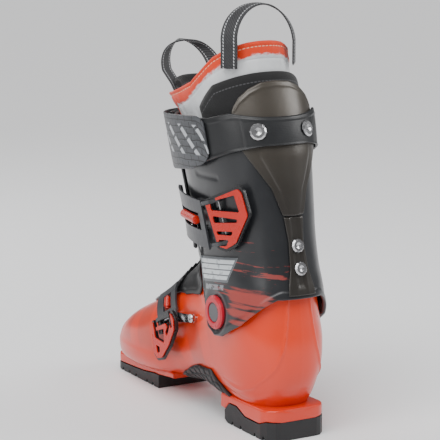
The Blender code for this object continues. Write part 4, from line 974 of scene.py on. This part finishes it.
class BOOT_OT_liner(bpy.types.Operator):
    """Inner boot: collar, tongue, rear padding, foot and footbed"""
    bl_idname = "ski_boot.liner"
    bl_label = "Inner Boot"

    def execute(self, context):
        collar = wall_piece("fine_collar", COLLAR_RIBS, (33, 327), COLLAR_LOWER_EDGE,
                            COLLAR_UPPER_EDGE, *COLLAR_FACES, (360, 180), 1.4, collar_relief)
        fit_piece(collar, "cuff", "liner_collar")
        tongue = wall_piece("fine_tongue", COLLAR_RIBS, (-48, 48), COLLAR_LOWER_EDGE,
                            lambda d: 326 + 4 * np.cos(np.radians(1.8 * d)), *TONGUE_FACES,
                            (100, 165), 1.3, tongue_relief)
        fit_piece(tongue, "cuff", "liner_tongue", finish="tongue")
        (column, column_full), (row, row_full) = shares((170, 50), 4, (120, 36))
        degrees = 102 + 156 * column
        ends = [rib_where(CUFF_RIBS, degrees, edge, PADDING_OUT)
                for edge in (PADDING_LOWER_EDGE, PADDING_UPPER_EDGE)]
        number = ends[0] + (ends[1] - ends[0]) * row[:, None]
        outer = rib_points(CUFF_RIBS, number, degrees, PADDING_OUT)
        ends = [rib_where(COLLAR_RIBS, degrees, outer[k, :, 2], 1) for k in (0, -1)]
        number = ends[0] + (ends[1] - ends[0]) * row[:, None]
        padding = slab_piece("fine_padding", outer, rib_points(COLLAR_RIBS, number, degrees, 1),
                             row_full, column_full)
        fit_piece(padding, "cuff", "collar_padding")
        foot = tube_piece("fine_liner_foot", SHELL_RIBS, 1.7, 12.5, FOOT_OUT, FOOT_WALL, 2.1,
                          80, 90, 1.0)
        fit_piece(foot, "shell", "liner_foot")
        (column, column_full), (row, row_full) = shares((70, 220), 1.5, (40, 90))
        number, degrees = (2.7 + 6.3 * row)[:, None], 146 + 68 * column
        bed = loft_slab("fine_footbed", SHELL_RIBS, number, degrees, FOOTBED_FACES,
                        (row_full, column_full))
        fit_piece(bed, "shell", "footbed")
        return {"FINISHED"}


class BOOT_OT_loops(bpy.types.Operator):
    """Webbing pull loops at the rear and on the tongue"""
    bl_idname = "ski_boot.loops"
    bl_label = "Pull Loops"

    def execute(self, context):
        thickness = context.scene.ski_boot.webbing_thickness / MM
        for node, legs, half, turn_z, y, top_y, width, lean in (
                ("rear_pull_loop", ((36, -34, 348.5),), 36, 372, -34, -40, 17, 0.8),
                ("tongue_pull_loop", ((26, -150.9, 315), (26.3, -158.8, 323)), 28, 334, -172,
                 -189, 16, -2)):
            angle = np.linspace(0, math.pi, 61)
            arch = np.stack([half * np.cos(angle), y + (top_y - y) * np.sin(angle),
                             turn_z + half * np.sin(angle)], -1)
            leg = np.concatenate([np.array(legs, float), arch[:1]])
            stops = np.linspace(0, len(leg) - 1, 12)[:-1]
            leg = np.stack([np.interp(stops, np.arange(len(leg)), leg[:, k]) for k in range(3)],
                           -1)
            path = np.concatenate([leg, arch, leg[::-1] * (-1, 1, 1)])
            side = np.clip(path[:, 0] / half, -1, 1)
            across = np.stack([-lean * side, side * 0 + 1, side * 0], -1)
            loop = strap_piece("fine_" + node, path, across, width, thickness)
            fit_piece(loop, "cuff", node)
        return {"FINISHED"}


class BOOT_OT_hardware(bpy.types.Operator):
    """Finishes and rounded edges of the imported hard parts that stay"""
    bl_idname = "ski_boot.hardware"
    bl_label = "Hardware"

    def execute(self, context):
        width = context.scene.ski_boot.edge_rounding
        made = {}
        for node, obj in frame["nodes"].items():
            if node in REPLACED:
                continue
            slot = SLOT_OF[node]
            if slot not in made:
                made[slot] = FINISHES[slot]()
            for entry in obj.material_slots:
                entry.material = made[slot]
            if slot in ("buckle_dark", "buckle_grey", "buckle_red", "sole"):
                rounding = obj.modifiers.new("edges", "BEVEL")
                rounding.width = width
                rounding.segments = 2
                rounding.limit_method = "ANGLE"
                rounding.angle_limit = math.radians(28)
        return {"FINISHED"}


class BOOT_OT_stage(bpy.types.Operator):
    """Pale floor, soft studio lights and the camera"""
    bl_idname = "ski_boot.stage"
    bl_label = "Stage"

    def execute(self, context):
        scene = context.scene
        floor = new_piece("floor", [(-9000, -9000, 0), (9000, -9000, 0), (9000, 9000, 0),
                                    (-9000, 9000, 0)], [(0, 1, 2, 3)])
        floor.location.z = -0.0004
        pale = Board("floor", Base_Color=(0.92, 0.92, 0.93, 1), Roughness=0.6)
        floor.data.materials.append(pale.material)
        world = bpy.data.worlds.new("studio")
        scene.world = world
        world.use_nodes = True
        world.node_tree.nodes["Background"].inputs[0].default_value = (1.0, 1.0, 1.0, 1)
        world.node_tree.nodes["Background"].inputs[1].default_value = 0.22
        aim = Vector((0, -0.08, 0.19))
        for name, kind, place_m, power, size in (
                ("sky", "SUN", (0.7, 0.5, 1.8), 3.0, 0.9),
                ("key", "AREA", (1.5, 0.25, 0.9), 8, 0.8),
                ("front", "AREA", (0.3, -1.3, 0.9), 6, 0.8),
                ("rim", "AREA", (-1.0, 0.5, 0.9), 8, 0.6)):
            light = bpy.data.lights.new(name, kind)
            light.energy = power
            if kind == "SUN":
                light.angle = size
            else:
                light.size = size
            lamp = bpy.data.objects.new(name, light)
            scene.collection.objects.link(lamp)
            lamp.location = place_m
            lamp.rotation_euler = (aim - lamp.location).to_track_quat("-Z", "Y").to_euler()
        # The camera stands far from the target, turned round the boot and lifted above it.
        turn, lift, far = math.radians(150.1), math.radians(10.9), 1.8
        back = Vector((math.sin(turn) * math.cos(lift), -math.cos(turn) * math.cos(lift),
                       math.sin(lift)))
        right = Vector((math.cos(turn), math.sin(turn), 0))
        up = back.cross(right)
        view = bpy.data.cameras.new("camera")
        view.lens, view.sensor_width = 151.8, 36
        camera = bpy.data.objects.new("camera", view)
        scene.collection.objects.link(camera)
        target = right * -0.0566 + up * 0.2022
        camera.matrix_world = Matrix((right, up, back)).transposed().to_4x4()
        camera.location = target + back * far
        scene.camera = camera
        return {"FINISHED"}


class BOOT_PT_panel(bpy.types.Panel):
    """Sizes of the boot's looks and the steps that build them"""
    bl_idname = "BOOT_PT_panel"
    bl_label = "Ski Boot"
    bl_space_type = "VIEW_3D"
    bl_region_type = "UI"
    bl_category = "Ski Boot"

    def draw(self, context):
        for name in AlpineBootSettings.__annotations__:
            self.layout.prop(context.scene.ski_boot, name)
        for step in OPERATORS:
            self.layout.operator(step.bl_idname)


OPERATORS = (BOOT_OT_lower_shell, BOOT_OT_cuff, BOOT_OT_covers, BOOT_OT_strap, BOOT_OT_liner,
             BOOT_OT_loops, BOOT_OT_hardware, BOOT_OT_stage)
CLASSES = (AlpineBootSettings, *OPERATORS, BOOT_PT_panel)


def register():
    for cls in CLASSES:
        bpy.utils.register_class(cls)
    bpy.types.Scene.ski_boot = bpy.props.PointerProperty(type=AlpineBootSettings)


def unregister():
    del bpy.types.Scene.ski_boot
    for cls in reversed(CLASSES):
        bpy.utils.unregister_class(cls)


def main():
    """Register the add-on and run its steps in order."""
    register()
    for step in OPERATORS:
        getattr(bpy.ops.ski_boot, step.bl_idname.split(".")[1])()


if __name__ == "__main__":
    main()
